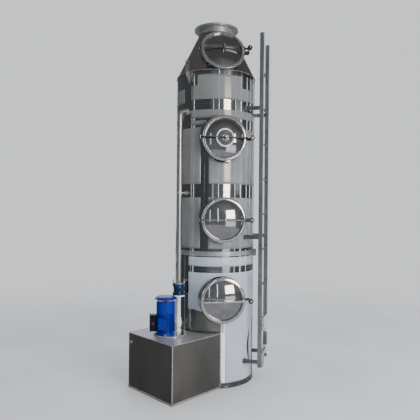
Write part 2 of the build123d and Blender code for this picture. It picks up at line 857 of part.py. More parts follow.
# Ladder: two rails, round rungs and flat stays to the shell
ladder_level = turned(ladder_angle)
with BuildPart() as ladder_rails:
    with BuildSketch(ladder_level.offset(ladder_bottom)):
        with Locations((ladder_reach, -ladder_width / 2), (ladder_reach, ladder_width / 2)):
            RectangleRounded(rail_depth, rail_width, rail_corner)
    extrude(amount=ladder_top - ladder_bottom)
save(ladder_rails.part, "ladder_rails")

rung_length = ladder_width - rail_width
with BuildPart() as ladder_rungs:
    for index in range(rung_count):
        rung_end = Plane(
            origin=ladder_level.x_dir * ladder_reach
            - ladder_level.y_dir * (rung_length / 2)
            + Vector(0, 0, first_rung_height + index * rung_spacing),
            z_dir=ladder_level.y_dir,
        )
        with BuildSketch(rung_end):
            Circle(rung_radius)
        extrude(amount=rung_length)
save(ladder_rungs.part, "ladder_rungs")

with BuildPart() as ladder_stays:
    for height in stay_heights:
        with BuildSketch(ladder_level.offset(height - stay_height / 2)):
            with Locations((0, -ladder_width / 2), (0, ladder_width / 2)):
                stay_end = ladder_reach - rail_depth / 2
                Rectangle(stay_end, stay_thickness, align=base_corner)
        extrude(amount=stay_height)
    with BuildSketch(Plane.XY):
        Circle(shell_radius)
    extrude(amount=shell_top, mode=Mode.SUBTRACT)
save(ladder_stays.part, "ladder_stays")

# Lifting lugs: eye plates on opposite sides of the shell's top
with BuildPart() as lifting_lugs:
    for angle in (lifting_angle, lifting_angle + 180):
        with BuildSketch(upright(angle)):
            with BuildLine():
                lug_outer = shell_radius + slip_fit + lip_thickness + lug_plate_reach
                lug_inner = shell_radius + slip_fit
                Polyline(
                    (lug_inner, shell_top - lip_height - slip_fit),
                    (lug_inner, lug_plate_bottom),
                    (lug_outer, lug_plate_bottom + 2 * lug_plate_reach),
                    (lug_outer, lug_eye_height),
                )
                eye_middle = (lug_inner + lip_thickness + lug_outer) / 2
                ThreePointArc(
                    (lug_outer, lug_eye_height),
                    (eye_middle, lug_plate_top),
                    (2 * eye_middle - lug_outer, lug_eye_height),
                )
                Polyline(
                    (2 * eye_middle - lug_outer, lug_eye_height),
                    (2 * eye_middle - lug_outer, shell_top - lip_height - slip_fit),
                    (lug_inner, shell_top - lip_height - slip_fit),
                )
            make_face()
            with Locations((eye_middle, lug_eye_height)):
                Circle(lug_eye_radius, mode=Mode.SUBTRACT)
        extrude(amount=lug_plate_thickness / 2, both=True)
save(lifting_lugs.part, "lifting_lugs")
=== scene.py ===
import json
import math
import random

import bmesh
import bpy
import numpy as np
from bpy.props import FloatProperty, FloatVectorProperty, IntProperty, PointerProperty
from mathutils import Matrix, Vector
from mathutils.geometry import delaunay_2d_cdt


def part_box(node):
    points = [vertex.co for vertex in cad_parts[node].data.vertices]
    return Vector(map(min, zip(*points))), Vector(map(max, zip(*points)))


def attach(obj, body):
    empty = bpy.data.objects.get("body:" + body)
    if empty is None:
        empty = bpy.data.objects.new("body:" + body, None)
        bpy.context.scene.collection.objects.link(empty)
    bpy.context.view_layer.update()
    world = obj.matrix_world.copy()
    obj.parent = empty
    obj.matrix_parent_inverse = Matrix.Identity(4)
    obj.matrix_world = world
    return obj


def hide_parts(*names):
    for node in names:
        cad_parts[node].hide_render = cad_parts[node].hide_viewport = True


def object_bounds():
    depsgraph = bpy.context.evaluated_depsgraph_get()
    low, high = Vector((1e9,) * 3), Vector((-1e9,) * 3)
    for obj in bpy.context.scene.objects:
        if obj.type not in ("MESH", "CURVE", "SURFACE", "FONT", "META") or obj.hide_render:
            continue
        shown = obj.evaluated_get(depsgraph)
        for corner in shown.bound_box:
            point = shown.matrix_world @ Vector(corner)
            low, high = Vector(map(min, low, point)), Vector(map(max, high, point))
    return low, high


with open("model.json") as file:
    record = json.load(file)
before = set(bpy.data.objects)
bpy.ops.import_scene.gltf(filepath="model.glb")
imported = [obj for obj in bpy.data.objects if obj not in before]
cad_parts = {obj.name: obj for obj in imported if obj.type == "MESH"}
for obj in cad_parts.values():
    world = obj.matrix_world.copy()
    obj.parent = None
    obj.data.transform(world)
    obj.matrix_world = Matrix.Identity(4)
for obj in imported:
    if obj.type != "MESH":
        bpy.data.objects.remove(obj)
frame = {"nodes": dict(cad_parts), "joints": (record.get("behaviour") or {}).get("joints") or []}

bl_info = {
    "name": "Gas Absorption Tower",
    "version": (1, 0, 0),
    "blender": (4, 5, 0),
    "location": "3D View > Sidebar > Tower",
    "description": "Dresses the packed gas absorption tower and sets its studio",
    "category": "Object",
}

MM = 0.001
UP = Vector((0, 0, 1))
cad_box = [list(corner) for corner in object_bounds()]


# Colours


def linear(code):
    """An sRGB hex colour as linear red, green, blue and alpha."""
    shares = [int(code[i : i + 2], 16) / 255 for i in (1, 3, 5)]
    return (*(c / 12.92 if c <= 0.04045 else ((c + 0.055) / 1.055) ** 2.4 for c in shares), 1.0)


def tone(name):
    """A linear colour with its alpha, from a hex code or from the panel by its name."""
    return linear(name) if name[0] == "#" else (*getattr(bpy.context.scene.tower_colours, name), 1.0)


# Places in the frame, in metres


def middle(node):
    low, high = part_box(node)
    return (low + high) / 2


def around(angle, radius, height):
    """The point at this angle in degrees round the tower, this far out and up."""
    swing = math.radians(angle)
    return Vector((radius * math.cos(swing), radius * math.sin(swing), height))


def reach_of(place):
    return math.hypot(place.x, place.y)


def angle_of(place):
    return math.degrees(math.atan2(place.y, place.x))


def raised(height):
    """The level at this height, on the tower's axis."""
    return Matrix.Translation((0, 0, height))


def placed(origin, out, up=UP):
    """Matrix whose Z axis points along out from the origin, with Y as near to up as it can be."""
    z = Vector(out).normalized()
    x = Vector(up).cross(z)
    x = x.normalized() if x.length > 1e-6 else Vector((1, 0, 0))
    y = z.cross(x)
    return Matrix.Translation(origin) @ Matrix((x, y, z)).transposed().to_4x4()


SHELL_RADIUS = -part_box("upper_shell_front_left")[0].x
FLOOR_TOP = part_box("tank_floor")[1].z
SHELL_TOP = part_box("upper_shell_rear_left")[1].z
CONE_LIP = 12 * MM
DUCT_RADIUS = 182 * MM
JOINT_HEIGHT = middle("joint_band").z
JOINT_EAR_ANGLE = -32
SUMP_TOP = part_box("sump_cover")[1].z
SUMP_END = 837 * MM
SUMP_HALF_WIDTH = 321 * MM
PLATE_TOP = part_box("pump_plate")[1].z
PLATE_RADIUS = 152 * MM
PUMP_PLACE = middle("fan_cowl")
SUMP_ANGLE = angle_of(PUMP_PLACE)
PUMP_REACH = reach_of(PUMP_PLACE)
RISER_PLACE = middle("flexible_joint")
LADDER_PLACE = middle("ladder_rails")
LADDER_ANGLE = angle_of(LADDER_PLACE)
LADDER_REACH = reach_of(LADDER_PLACE)
STAY_HEIGHTS = (0.226, 1.44, 2.70)
WRAPPED_HEIGHTS = ((0.21, 0.30), (0.44, 0.62))
SHREDS_OVER_FOOT = ((0.004, 0.19, 0.034), (0.36, 0.52, 0.028))
GIRTH_WELD_HEIGHTS = (1.131, 1.883, 2.538, 2.717)
COVER_WELD_SWING = 53.4
MOTOR_PANEL_ANGLE = -117
MOTOR_PANEL_HEIGHT = 642 * MM
CABLE_ENTRY_HEIGHT = 643 * MM
NIPPLE_OUT, NIPPLE_SIDE, NIPPLE_DROP = 15 * MM, 259 * MM, 80 * MM

# The manholes: distances from a lid's middle and from the plane of its seat, in metres
MANHOLES = ("top", "upper", "middle", "lower")
# The four clamp bars are one bar; their finishes are lit and shaded copies, painted light and shade for how
# the light falls on each lid.
BAR_FINISHES = ("polished stainless", "dark satin stainless", "satin stainless", "pickled stainless")
HINGE_REACH = 236 * MM
HINGE_RISE = 18 * MM
SCREW_REACH = 252 * MM
KNOB_TOP = 76.3 * MM
NUT_RISE = 84.3 * MM
NECK_WELD_RADIUS = 204.5 * MM
GASKET_RADIUS = 206.5 * MM
LID_SHEET = 3 * MM
DOME_RADIUS = 184 * MM
DOME_RISE = 30 * MM
DOME_TOP = 34.3 * MM
DOME_EDGE = 184.6 * MM
DISC_EDGE = 78 * MM
DISC = [(0.001, 0.0343), (0.04, 0.0342), (0.072, 0.0339), (0.0765, 0.031)]
BOSS = [
    (0.034, 0.0340), (0.034, 0.0365), (0.031, 0.0385), (0.024, 0.0395), (0.022, 0.0375), (0.001, 0.0375)
]


def manhole_face(name):
    """The plane of a manhole's seat: X along the bar, Y up, Z out, from its hinge."""
    hinge = next(j for j in frame["joints"] if j["name"] == name + "_lid_hinge")
    down, pin = Vector(hinge["axis"]), Vector(hinge["pos_m"])
    out = down.cross(Vector((1, 0, 0))).normalized()
    origin = pin - out * HINGE_RISE
    origin.x = 0
    return placed(origin, out, -down)


# Meshes


def ring(place, radius, count, height=0.0):
    """Points on a circle in the XY plane of a matrix."""
    angles = [math.tau * i / count for i in range(count)]
    return [place @ Vector((radius * math.cos(a), radius * math.sin(a), height)) for a in angles]


def skin(bm, rings, ends=True, round_trip=False):
    """Faces from ring to ring, and over the two ends or back to the first ring."""
    levels = [[bm.verts.new(p) for p in points] for points in rings]
    pairs = list(zip(levels, levels[1:])) + ([(levels[-1], levels[0])] if round_trip else [])
    for low, high in pairs:
        for i, corner in enumerate(low):
            after = (i + 1) % len(low)
            bm.faces.new((corner, low[after], high[after], high[i]))
    if ends and not round_trip:
        bm.faces.new(levels[0][::-1])
        bm.faces.new(levels[-1])


def turn_profile(bm, place, profile, steps=64, round_trip=False):
    """A form of revolution round the Z axis of a matrix, from (radius, height) points."""
    skin(bm, [ring(place, r, steps, h) for r, h in profile], round_trip=round_trip)


def arc(centre, radius, start, end, steps):
    """Points of a circular arc in a profile, angles in degrees."""
    turns = [math.radians(start + (end - start) * i / steps) for i in range(steps + 1)]
    return [(centre[0] + radius * math.cos(t), centre[1] + radius * math.sin(t)) for t in turns]


def hoop(bm, place, reach, radius, around_steps, steps=12):
    """A ring of round section in the XY plane of a matrix, reach from its Z axis."""
    turn_profile(bm, place, arc((reach, 0), radius, 0, 360, steps)[:-1], around_steps, round_trip=True)


def tube(bm, points, radii, steps=12, closed=False):
    """A round tube along points, with one radius or one for each point."""
    points = [Vector(p) for p in points]
    count = len(points)
    radii = [radii] * count if isinstance(radii, float) else radii
    side = None
    rings = []
    for i, point in enumerate(points):
        after = points[(i + 1) % count] if closed or i + 1 < count else point
        before = points[i - 1] if closed or i else point
        along = (after - before).normalized()
        if side is None:
            side = along.orthogonal().normalized()
        side = (side - along * side.dot(along)).normalized()
        other = along.cross(side)
        turns = [math.tau * k / steps for k in range(steps)]
        rings.append([point + (side * math.cos(t) + other * math.sin(t)) * radii[i] for t in turns])
    skin(bm, rings, round_trip=closed)


def slab(bm, place, width, depth, height, chamfer):
    """A block on the XY plane of a matrix, with its upper edges taken off."""
    rings = []
    for shrink, level in ((0, 0), (0, height - chamfer), (chamfer, height)):
        x, y = width / 2 - shrink, depth / 2 - shrink
        corners = ((-x, -y), (x, -y), (x, y), (-x, y))
        rings.append([place @ Vector((*corner, level)) for corner in corners])
    skin(bm, rings)


def nut(bm, place, across, height):
    """A hexagon nut or bolt head with its chamfered top."""
    reach = across / math.sqrt(3)
    steps = ((reach, 0), (reach, 0.86 * height), (0.88 * reach, height))
    skin(bm, [ring(place, r, 6, h) for r, h in steps])


def screw_end(bm, place, diameter, height):
    """A washer, a nut and the end of the stud through them."""
    turn_profile(bm, place, [(1.1 * diameter, 0), (1.1 * diameter, 0.2 * diameter)], 20)
    lifted = place @ Matrix.Translation((0, 0, 0.2 * diameter))
    nut(bm, lifted, 1.6 * diameter, 0.8 * diameter)
    top = (0.5 * diameter, height - 0.1 * diameter), (0.38 * diameter, height)
    turn_profile(bm, place, [(0.5 * diameter, 0), *top], 12)


def weld(bm, points, width, closed=True, seed=1):
    """A rippled bead along a path, half sunk in what it joins."""
    draw = random.Random(seed)
    ripple = [1 + 0.16 * math.cos(math.pi * i) for i in range(len(points))]
    tube(bm, points, [width / 2 * r * draw.uniform(0.93, 1.07) for r in ripple], steps=8, closed=closed)


def weld_path(place, radius, pitch=5 * MM):
    """Points round a circle, an even number of them, so that the ripple closes."""
    return ring(place, radius, 2 * max(8, round(math.tau * radius / pitch / 2)))


def on_shell(place, radius, count):
    """The curve where a pipe along the Z axis of a matrix meets the shell."""
    curve = []
    out = (place.to_3x3() @ UP).normalized()
    for point in ring(place, radius, count):
        flat, way = point.xy, out.xy
        half = flat.dot(way) / way.length_squared
        rest = (flat.length_squared - SHELL_RADIUS**2) / way.length_squared
        curve.append(point + out * (-half + math.sqrt(max(half * half - rest, 0))))
    return curve


def inside(points, edges_from, edges_to):
    """For each point, whether it lies inside the closed loop, by counting edges crossed."""
    x, y = points[:, :1], points[:, 1:]
    ax, ay = edges_from.T
    bx, by = edges_to.T
    rising = (ay > y) != (by > y)
    with np.errstate(divide="ignore", invalid="ignore"):
        cross = (bx - ax) * (y - ay) / (by - ay) + ax
    return ((rising & (x < cross)).sum(axis=1) % 2).astype(bool)


def divided(loop, step):
    """A closed loop with points added so that none are further apart than step."""
    full = []
    for a, b in zip(loop, loop[1:] + loop[:1]):
        a, b = Vector(a), Vector(b)
        parts = max(1, math.ceil((b - a).length / step))
        full += [a.lerp(b, i / parts) for i in range(parts)]
    return full


def wrapped_sheet(bm, outline, holes, radius, lift, step):
    """A sheet laid round the shell: its outline and holes are (angle, height) points, and may cross."""
    flat = [[(math.radians(a) * radius, h) for a, h in loop] for loop in (outline, *holes)]
    loops = [divided(loop, step) for loop in flat]
    points = [p for loop in loops for p in loop]
    edges, first = [], 0
    for loop in loops:
        edges += [(first + i, first + (i + 1) % len(loop)) for i in range(len(loop))]
        first += len(loop)

    def covered(spots):
        """Whether each spot lies within the outline and clear of every hole."""
        sides = [np.array([tuple(p) for p in loop]) for loop in loops]
        sheet, *cuts = [inside(spots, side, np.roll(side, -1, axis=0)) for side in sides]
        return sheet & ~np.any(cuts, axis=0) if cuts else sheet

    low, high = (np.array([pick(c) for c in zip(*flat[0])]) for pick in (min, max))
    across = np.arange(low[0], high[0], step)
    upward = np.arange(low[1], high[1], 1.5 * step)
    grid = np.stack(np.meshgrid(across, upward), -1).reshape(-1, 2)
    every = points + [Vector(p) for p in grid[covered(grid)]]
    spots, _, faces, *_ = delaunay_2d_cdt(every, edges, [], 0, 1e-6)
    centres = np.array([sum((spots[i] for i in f), Vector((0, 0))) / 3 for f in faces])
    corners = []
    for spot in spots:
        angle = math.degrees(spot.x / radius)
        corners.append(bm.verts.new(around(angle, radius + lift(angle, spot.y), spot.y)))
    for face, keep in zip(faces, covered(centres)):
        if keep:
            bm.faces.new([corners[i] for i in face])
    bmesh.ops.delete(bm, geom=[v for v in bm.verts if not v.link_faces], context="VERTS")


def piece(name, bm, finish, body="tower", stands_for=(), thickness=0.0, bevel=0.0, sharp=40):
    """Turns a mesh into a named piece with its finish, that rides on a body of the frame."""
    bmesh.ops.recalc_face_normals(bm, faces=bm.faces)
    mesh = bpy.data.meshes.new(name)
    bm.to_mesh(mesh)
    bm.free()
    mesh.shade_smooth()
    mesh.set_sharp_from_angle(angle=math.radians(sharp))
    made = bpy.data.objects.new(name, mesh)
    bpy.context.scene.collection.objects.link(made)
    mesh.materials.append(material(finish))
    if thickness:
        sheet = made.modifiers.new("thickness", "SOLIDIFY")
        sheet.thickness = thickness
        sheet.offset = 1
    if bevel:
        edges = made.modifiers.new("edges", "BEVEL")
        edges.width = bevel
        edges.segments = 2
        edges.limit_method = "ANGLE"
        edges.harden_normals = True
    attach(made, body)
    if stands_for:
        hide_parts(*stands_for)


def dress(finish, *nodes):
    """Gives nodes of the frame their finish."""
    for name in nodes:
        node = frame["nodes"][name]
        node.data.materials.clear()
        node.data.materials.append(material(finish))


# Finishes


def add_node(tree, kind, inputs=None, **settings):
    """Adds one node: settings are its properties, inputs its values or the sockets linked in."""
    node = tree.nodes.new(kind)
    for name, value in settings.items():
        setattr(node, name, value)
    for name, value in (inputs or {}).items():
        if isinstance(value, bpy.types.NodeSocket):
            tree.links.new(value, node.inputs[name])
        else:
            node.inputs[name].default_value = value
    return node


def material(name):
    """The finish of this name, made the first time that it is asked for."""
    if name not in bpy.data.materials:
        made = bpy.data.materials.new(name)
        made.use_nodes = True
        made.node_tree.nodes.clear()
        shader = FINISHES[name](made.node_tree)
        add_node(made.node_tree, "ShaderNodeOutputMaterial", {"Surface": shader.outputs[0]})
    return bpy.data.materials[name]


def spread(tree, value, low, high, soft=False, **more):
    """A value mapped from low and high to 0 and 1, or to what more says."""
    ends = {"Value": value, "From Min": low, "From Max": high, **more}
    shape = "SMOOTHSTEP" if soft else "LINEAR"
    return add_node(tree, "ShaderNodeMapRange", ends, interpolation_type=shape).outputs[0]


def blotches(tree, size, upward=1, detail=3.0, rough=0.5, level=1, low=0.0, high=1.0):
    """A value from low to high in soft patches of a size in mm, stretched upward or on the level."""
    place = add_node(tree, "ShaderNodeTexCoord").outputs["Object"]
    scale = [1 / (size * MM * s) for s in (level, level, upward)]
    scaled = add_node(tree, "ShaderNodeVectorMath", {0: place, 1: scale}, operation="MULTIPLY")
    settings = {"Vector": scaled.outputs[0], "Scale": 1.0, "Detail": detail, "Roughness": rough}
    noise = add_node(tree, "ShaderNodeTexNoise", settings).outputs["Fac"]
    return spread(tree, noise, 0.3, 0.7, **{"To Min": low, "To Max": high})


def tinted(tree, share, first, second):
    """A mix of two colours by a share; each is a hex code, a name in the panel or a socket."""
    first, second = (tone(c) if isinstance(c, str) else c for c in (first, second))
    return add_node(tree, "ShaderNodeMix", {0: share, 6: first, 7: second}, data_type="RGBA").outputs[2]


def mottled(first, second, patches, dull, metallic=0.0, bumps=None, share=1.0, **more):
    """A finish in patches of two tones, the second up to a share. Dull is the roughness, or its two
    ends and its patches, and bumps are a depth in mm and patches. More holds the shader's other
    inputs, with _ for each space in a name."""

    def finish(tree):
        rough = blotches(tree, *dull[2:], low=dull[0], high=dull[1]) if isinstance(dull, tuple) else dull
        base = tinted(tree, blotches(tree, *patches, high=share), first, second)
        inputs = {"Base Color": base, "Roughness": rough, "Metallic": metallic}
        inputs.update({name.replace("_", " "): value for name, value in more.items()})
        if bumps:
            bump = {"Height": blotches(tree, *bumps[1:]), "Distance": bumps[0] * MM}
            inputs["Normal"] = add_node(tree, "ShaderNodeBump", bump).outputs[0]
        return add_node(tree, "ShaderNodeBsdfPrincipled", inputs)

    return finish


def polished(tree):
    marks = add_node(tree, "ShaderNodeTangent", direction_type="RADIAL", axis="Y").outputs[0]
    wheel = {"Anisotropic": 0.5, "Tangent": marks}
    shine, wave = (0.03, 0.07, 30), (0.05, 80, 1, 1.0)
    return mottled("#A4A5A7", "#B4B5B6", (60,), shine, 1.0, wave, **wheel)(tree)


def brushed(light, dark, dullest, metallic):
    """Stainless steel sheet with level belt marks."""
    dull, grain = (dullest - 0.06, dullest, 300), (0.006, 1.6, 1, 4.0, 0.7, 60)
    return mottled(dark, light, (300, 2, 1.5), dull, metallic, grain, Anisotropic=0.4)


def satin(light, dark):
    """Stainless steel bar and sheet, pickled: satin with handling marks."""
    return mottled(dark, light, (45, 3), (0.26, 0.42, 30), 0.85, (0.01, 3, 12))


def film(light, dark, mirror):
    """Polyethylene protective film, stuck on: milky, with the bright steel mirrored through it."""
    coat = {"Coat_Weight": 0.3, "Coat_IOR": 1.51, "Coat_Roughness": 0.06}
    return mottled(light, dark, (150, 1.6), (0.1, 0.2, 70), mirror, (0.15, 40, 3, 4.0), **coat)


def enamel(base, gloss):
    """Sprayed gloss enamel over cast iron: orange peel and a little dust."""
    coat = {"IOR": 1.5, "Specular_IOR_Level": gloss, "Coat_Weight": 0.1, "Coat_Roughness": 0.08}
    return mottled(base, "#2A4C86", (35,), (0.16, 0.24, 90), 0.0, (0.02, 2.5), share=0.03, **coat)


def studio_floor(tree):
    """Painted studio floor, faded out before it would show an edge."""
    matt = mottled("floor", "#D2D3D4", (900,), 0.55)(tree)
    place = add_node(tree, "ShaderNodeTexCoord").outputs["Object"]
    reach = add_node(tree, "ShaderNodeVectorMath", {0: place}, operation="LENGTH").outputs["Value"]
    radius = bpy.context.scene.tower_studio.floor_radius
    gone = spread(tree, reach, 0.35 * radius, 0.98 * radius, soft=True)
    clear = add_node(tree, "ShaderNodeBsdfTransparent")
    return add_node(tree, "ShaderNodeMixShader", {0: gone, 1: matt.outputs[0], 2: clear.outputs[0]})


FINISHES = {
    # Sheet, bright rolled: near-mirror reflections, slightly wavy, with dull smears.
    "bright rolled stainless": mottled(
        "#A3A4A5", "#B2B3B4", (90, 5), (0.04, 0.1, 55, 6), 1.0, (0.07, 260, 0.6, 1.0)
    ),
    # Lids and the top bar, mirror polished on a wheel: sharp reflections with faint round marks.
    "polished stainless": polished,
    # Sheet, belt brushed: dark soft sheen in the walls of the sump.
    "brushed stainless": brushed("#94908B", "#7A7874", 0.34, 0.87),
    # The same sheet lying flat, in a lighter colour than the walls: painted light for the faces that look
    # up, with a soft mirror of what stands on it.
    "brushed cover stainless": brushed("#C6C5C3", "#B6B5B3", 0.36, 0.72),
    # Tube and plate, drawn and pickled: warm soft satin with fine lines along it.
    "drawn stainless": mottled(
        "#CBC6C3", "#D8D4D1", (60, 4), (0.25, 0.31, 200, 4), 0.95, (0.002, 1.2, 50)
    ),
    # Rolled and buffed: bright satin that spreads the light round the rims.
    "rolled rim stainless": mottled("#C2C3C4", "#D2D3D4", (50,), (0.07, 0.12, 140), 0.9),
    # Blasted and pickled: pale and nearly matt, so that it takes the soft light.
    "pickled stainless": mottled("#B4B6B6", "#C6C8C8", (30,), (0.24, 0.34, 45), 0.6, (0.004, 1.5)),
    # A plain darker grey: stays, rungs, the middle bar and what stands in the tower.
    "satin stainless": satin("#82868A", "#6C7074"),
    # The same satin bar in a lighter grey for the ladder rails: painted light, for the light on their
    # faces.
    "light satin stainless": satin("#9DA1A4", "#878B8F"),
    # Joint band and gas outlet: broad soft glints.
    "bright satin stainless": satin("#CACCCC", "#BCBEBF"),
    # Nearly black satin of the hand screws, and of the upper lid's bar, where the dark is painted shade:
    # the same bar is lighter on the other lids.
    "dark satin stainless": mottled("#383B3E", "#4A4D50", (20,), (0.24, 0.36, 15), 0.85),
    # Weld bead as laid: rippled, with straw and blue heat tint.
    "heat tinted weld": mottled("#A39C90", "#8D9299", (14,), (0.3, 0.45, 8), 1.0, (0.1, 2)),
    # Weld bead, ground and polished: only a little duller than the sheet.
    "ground weld": mottled("#9B9B9A", "#ABABAB", (30, 3), (0.14, 0.22, 12), 1.0),
    # Film over bright steel, seen as neutral grey with the room faint in it.
    "grey protective film": film("upper_film", "#7B7E7F", 0.14),
    # The same film near the top, darker, and with less of the steel mirrored through it.
    "dull grey protective film": film("#7E7F7D", "#747573", 0.045),
    # The film of the lower course, bluish white: its own tint, and lighter than the upper film as painted
    # light for the brighter light low down.
    "blue-white protective film": film("lower_film", "#B0B9C3", 0.1),
    # A grey sheet with the steel half mirrored through it, laid over the bare shell behind the pump: its
    # grey is painted reflection, the dim room that the bare steel mirrors there.
    "thin clear film": film("#7A7C74", "#666862", 0.6),
    # A near-white strip along the lower film's left edge, shaped as film turned back on itself: painted
    # highlight, the bright floor that the bare shell mirrors there.
    "turned film edge": film("#FBFBFA", "#F0F1F1", 0.05),
    # Loose film on the ladder rails: bright folds over grey.
    "crumpled clear film": mottled(
        "#E9EDF0", "#A4ABAF", (25,), 0.22, 0.0, (2.0, 12, 1, 5.0),
        IOR=1.51, Coat_Weight=0.8, Coat_Roughness=0.1,
    ),
    # Motor, cowl and cap: bright glossy blue.
    "blue motor enamel": enamel("motor_blue", 0.3),
    # Terminal box and the guard under the cap: dark, and flatter than the motor; on the guard the dark is
    # painted shade for the gap under the cap.
    "dark box enamel": enamel("#03141B", 0.12),
    # Flanges of the flexible joint: deep blue.
    "blue joint enamel": enamel("joint_blue", 0.4),
    # EPDM rubber, moulded: black and dull, with a bloom.
    "moulded rubber": mottled("#15171A", "#2A2D31", (25,), (0.42, 0.6, 12), 0.0, (0.1, 3), IOR=1.52),
    # Extruded and moulded pipe: creamy white, waxy, a little soiled.
    "white polypropylene": mottled(
        "white_pipe", "#C9C3B4", (60, 3), (0.32, 0.45, 15), share=0.06,
        IOR=1.49, Subsurface_Weight=0.1, Subsurface_Scale=4 * MM,
    ),
    # Bolts and nuts: bright grey with a bluish cast.
    "zinc plated steel": mottled("#C3C7CC", "#E0E2E4", (10,), (0.2, 0.35, 6), 1.0),
    # Expanded PTFE cord: white and matt; on the upper lid's bead the same white is also painted highlight,
    # for the bright ring all round it.
    "white gasket cord": mottled("#F4F4F0", "#DCDCD8", (20,), 0.5),
    # Moulded closing plug: dull dark red.
    "red polyethylene": mottled("#4A1416", "#360F11", (10,), 0.4),
    # Plain, pale and matt.
    "painted studio floor": studio_floor,
}


# Sizes and colours that a user would change


def length(name, description, millimetres):
    return FloatProperty(name=name, description=description, default=millimetres * MM, unit="LENGTH")


def turn(name, description, degrees):
    return FloatProperty(
        name=name, description=description, default=math.radians(degrees), unit="ROTATION"
    )


def paint(name, description, code):
    return FloatVectorProperty(
        name=name, description=description, default=linear(code)[:3], subtype="COLOR", min=0, max=1
    )


class TowerSizes(bpy.types.PropertyGroup):
    film_thickness: length("Film thickness", "Protective film, thicker than real for its edge to show", 0.6)
    film_stand: length("Film stand-off", "Gap between the shell and its film", 0.3)
    weld_width: length("Weld width", "Width of the shell's weld beads", 9)
    bolt_diameter: length("Bolt diameter", "Pump plate and joint bolts", 12)
    joint_band_height: length("Joint band height", "Band round the joint of the courses", 40)
    joint_bolt_reach: length("Joint bolt reach", "Clamp bolt of the joint band, from the axis", 424.3)
    joint_ear_stand: length("Joint ear stand", "Outer face of a clamp ear, from the bolt's middle", 13)
    rail_stand: length("Rail stand", "Middle of a ladder rail, from the ladder's middle", 185)
    plate_bolts: IntProperty(name="Plate bolts", description="Bolts round the pump plate", default=6)


class TowerColours(bpy.types.PropertyGroup):
    upper_film: paint("Upper film", "Film on the upper course", "#8F9190")
    # Its default is partly the film's bluish tint, partly painted light: lighter than the upper film.
    lower_film: paint("Lower film", "Film on the lower course", "#BCC4CC")
    motor_blue: paint("Motor blue", "Enamel of the pump motor", "#00238A")
    joint_blue: paint("Joint blue", "Enamel of the flexible joint", "#0C2A55")
    white_pipe: paint("White pipe", "Polypropylene discharge pipe", "#FAFAF7")
    floor: paint("Floor", "Studio floor", "#DEDFE0")


class StudioSettings(bpy.types.PropertyGroup):
    camera_place: FloatVectorProperty(
        name="Camera place", description="Where the camera stands",
        default=(-0.900, -4.761, 1.710), subtype="TRANSLATION", unit="LENGTH",
    )
    heading: turn("Heading", "Camera heading from +X", 79.88)
    pitch: turn("Pitch", "Camera tilt upward", -0.11)
    roll: turn("Roll", "Camera roll", 0.52)
    lens: FloatProperty(name="Lens", description="Focal length in mm", default=40.0)
    floor_radius: length("Floor radius", "The floor has faded out at this distance", 7000)


# Pieces


class TOWER_OT_shell(bpy.types.Operator):
    """Finish the shell, cone and flanges, and lay their weld beads"""

    bl_idname = "tower.shell"
    bl_label = "Shell and Welds"

    def execute(self, context):
        courses = [n for n in frame["nodes"] if "_shell_" in n]
        dress("bright rolled stainless", "tank_floor", "cone_top", "gas_inlet", *courses)
        dress("drawn stainless", "lifting_lugs")
        dress("bright satin stainless", "joint_band", "gas_outlet")
        dress("satin stainless", "packing_grids", "spray_header")
        sizes = context.scene.tower_sizes
        over, under = JOINT_HEIGHT + sizes.joint_band_height / 2, JOINT_HEIGHT - sizes.joint_band_height / 2
        self.welds(sizes.weld_width, over, under)
        self.beads(over, under)
        self.joint_bolt(sizes)
        return {"FINISHED"}

    def welds(self, width, over, under):
        bm = bmesh.new()
        for height in GIRTH_WELD_HEIGHTS:
            weld(bm, weld_path(raised(height), SHELL_RADIUS - 1.2 * MM), 0.4 * width, seed=2)
        lip = SHELL_TOP - CONE_LIP
        seam_top, seam_foot = GIRTH_WELD_HEIGHTS[2:]
        seams = (
            (-115.5, over, seam_top), (64.5, over, seam_top), (-134, seam_foot, lip), (30, seam_foot, lip),
            (-146.5, SUMP_TOP, under), (25, FLOOR_TOP, under),
        )
        for angle, low, high in seams:
            count = round((high - low) / (6 * MM))
            path = [around(angle, SHELL_RADIUS, low + (high - low) * i / count) for i in range(count + 1)]
            weld(bm, path, 0.8 * width, closed=False, seed=3)
        neck = raised(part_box("cone_top")[1].z)
        weld(bm, weld_path(neck, DUCT_RADIUS), 0.7 * width, seed=4)
        piece("shell_welds", bm, "ground weld")

    def beads(self, over, under):
        """Round beads on the cone's lip, at the shell's foot and along the joint's band."""
        bm = bmesh.new()
        hoop(bm, raised(SHELL_TOP + 1.2 * MM), SHELL_RADIUS + 2.2 * MM, 2.8 * MM, 160)
        hoop(bm, raised(4.5 * MM), SHELL_RADIUS + 1.5 * MM, 3.2 * MM, 160)
        for height in (under, over):
            hoop(bm, raised(height), SHELL_RADIUS + 2.8 * MM, 1.9 * MM, 160, steps=10)
        piece("cone_lip_bead", bm, "pickled stainless")

    def joint_bolt(self, sizes):
        stand = sizes.joint_ear_stand
        ears = around(JOINT_EAR_ANGLE, sizes.joint_bolt_reach, JOINT_HEIGHT)
        along = around(JOINT_EAR_ANGLE + 90, 1, 0)
        bm = bmesh.new()
        for side, height in ((-1, 12 * MM), (1, 26 * MM)):
            face = placed(ears + along * side * stand, along * side)
            screw_end(bm, face, sizes.bolt_diameter - 1.5 * MM, height)
        shaft_radius = 5.2 * MM
        shaft = placed(ears - along * stand, along)
        turn_profile(bm, shaft, [(shaft_radius, 0), (shaft_radius, 2 * stand)], 16)
        piece("joint_band_bolt", bm, "zinc plated steel", bevel=0.3 * MM)


# Edges of the film's sheets, in degrees round the shell
SEAM_LEFT, SEAM_RIGHT = -121.0, -109.5
REAR_LEFT, REAR_RIGHT = 55, 72


def shell_sheets(low, high):
    """The three sheets of film round one height of the upper course, cut back at its seams."""
    spans = ((-155, SEAM_LEFT), (SEAM_RIGHT, REAR_LEFT), (REAR_RIGHT, 196))
    return [[(left, low), (right, low), (right, high), (left, high)] for left, right in spans]


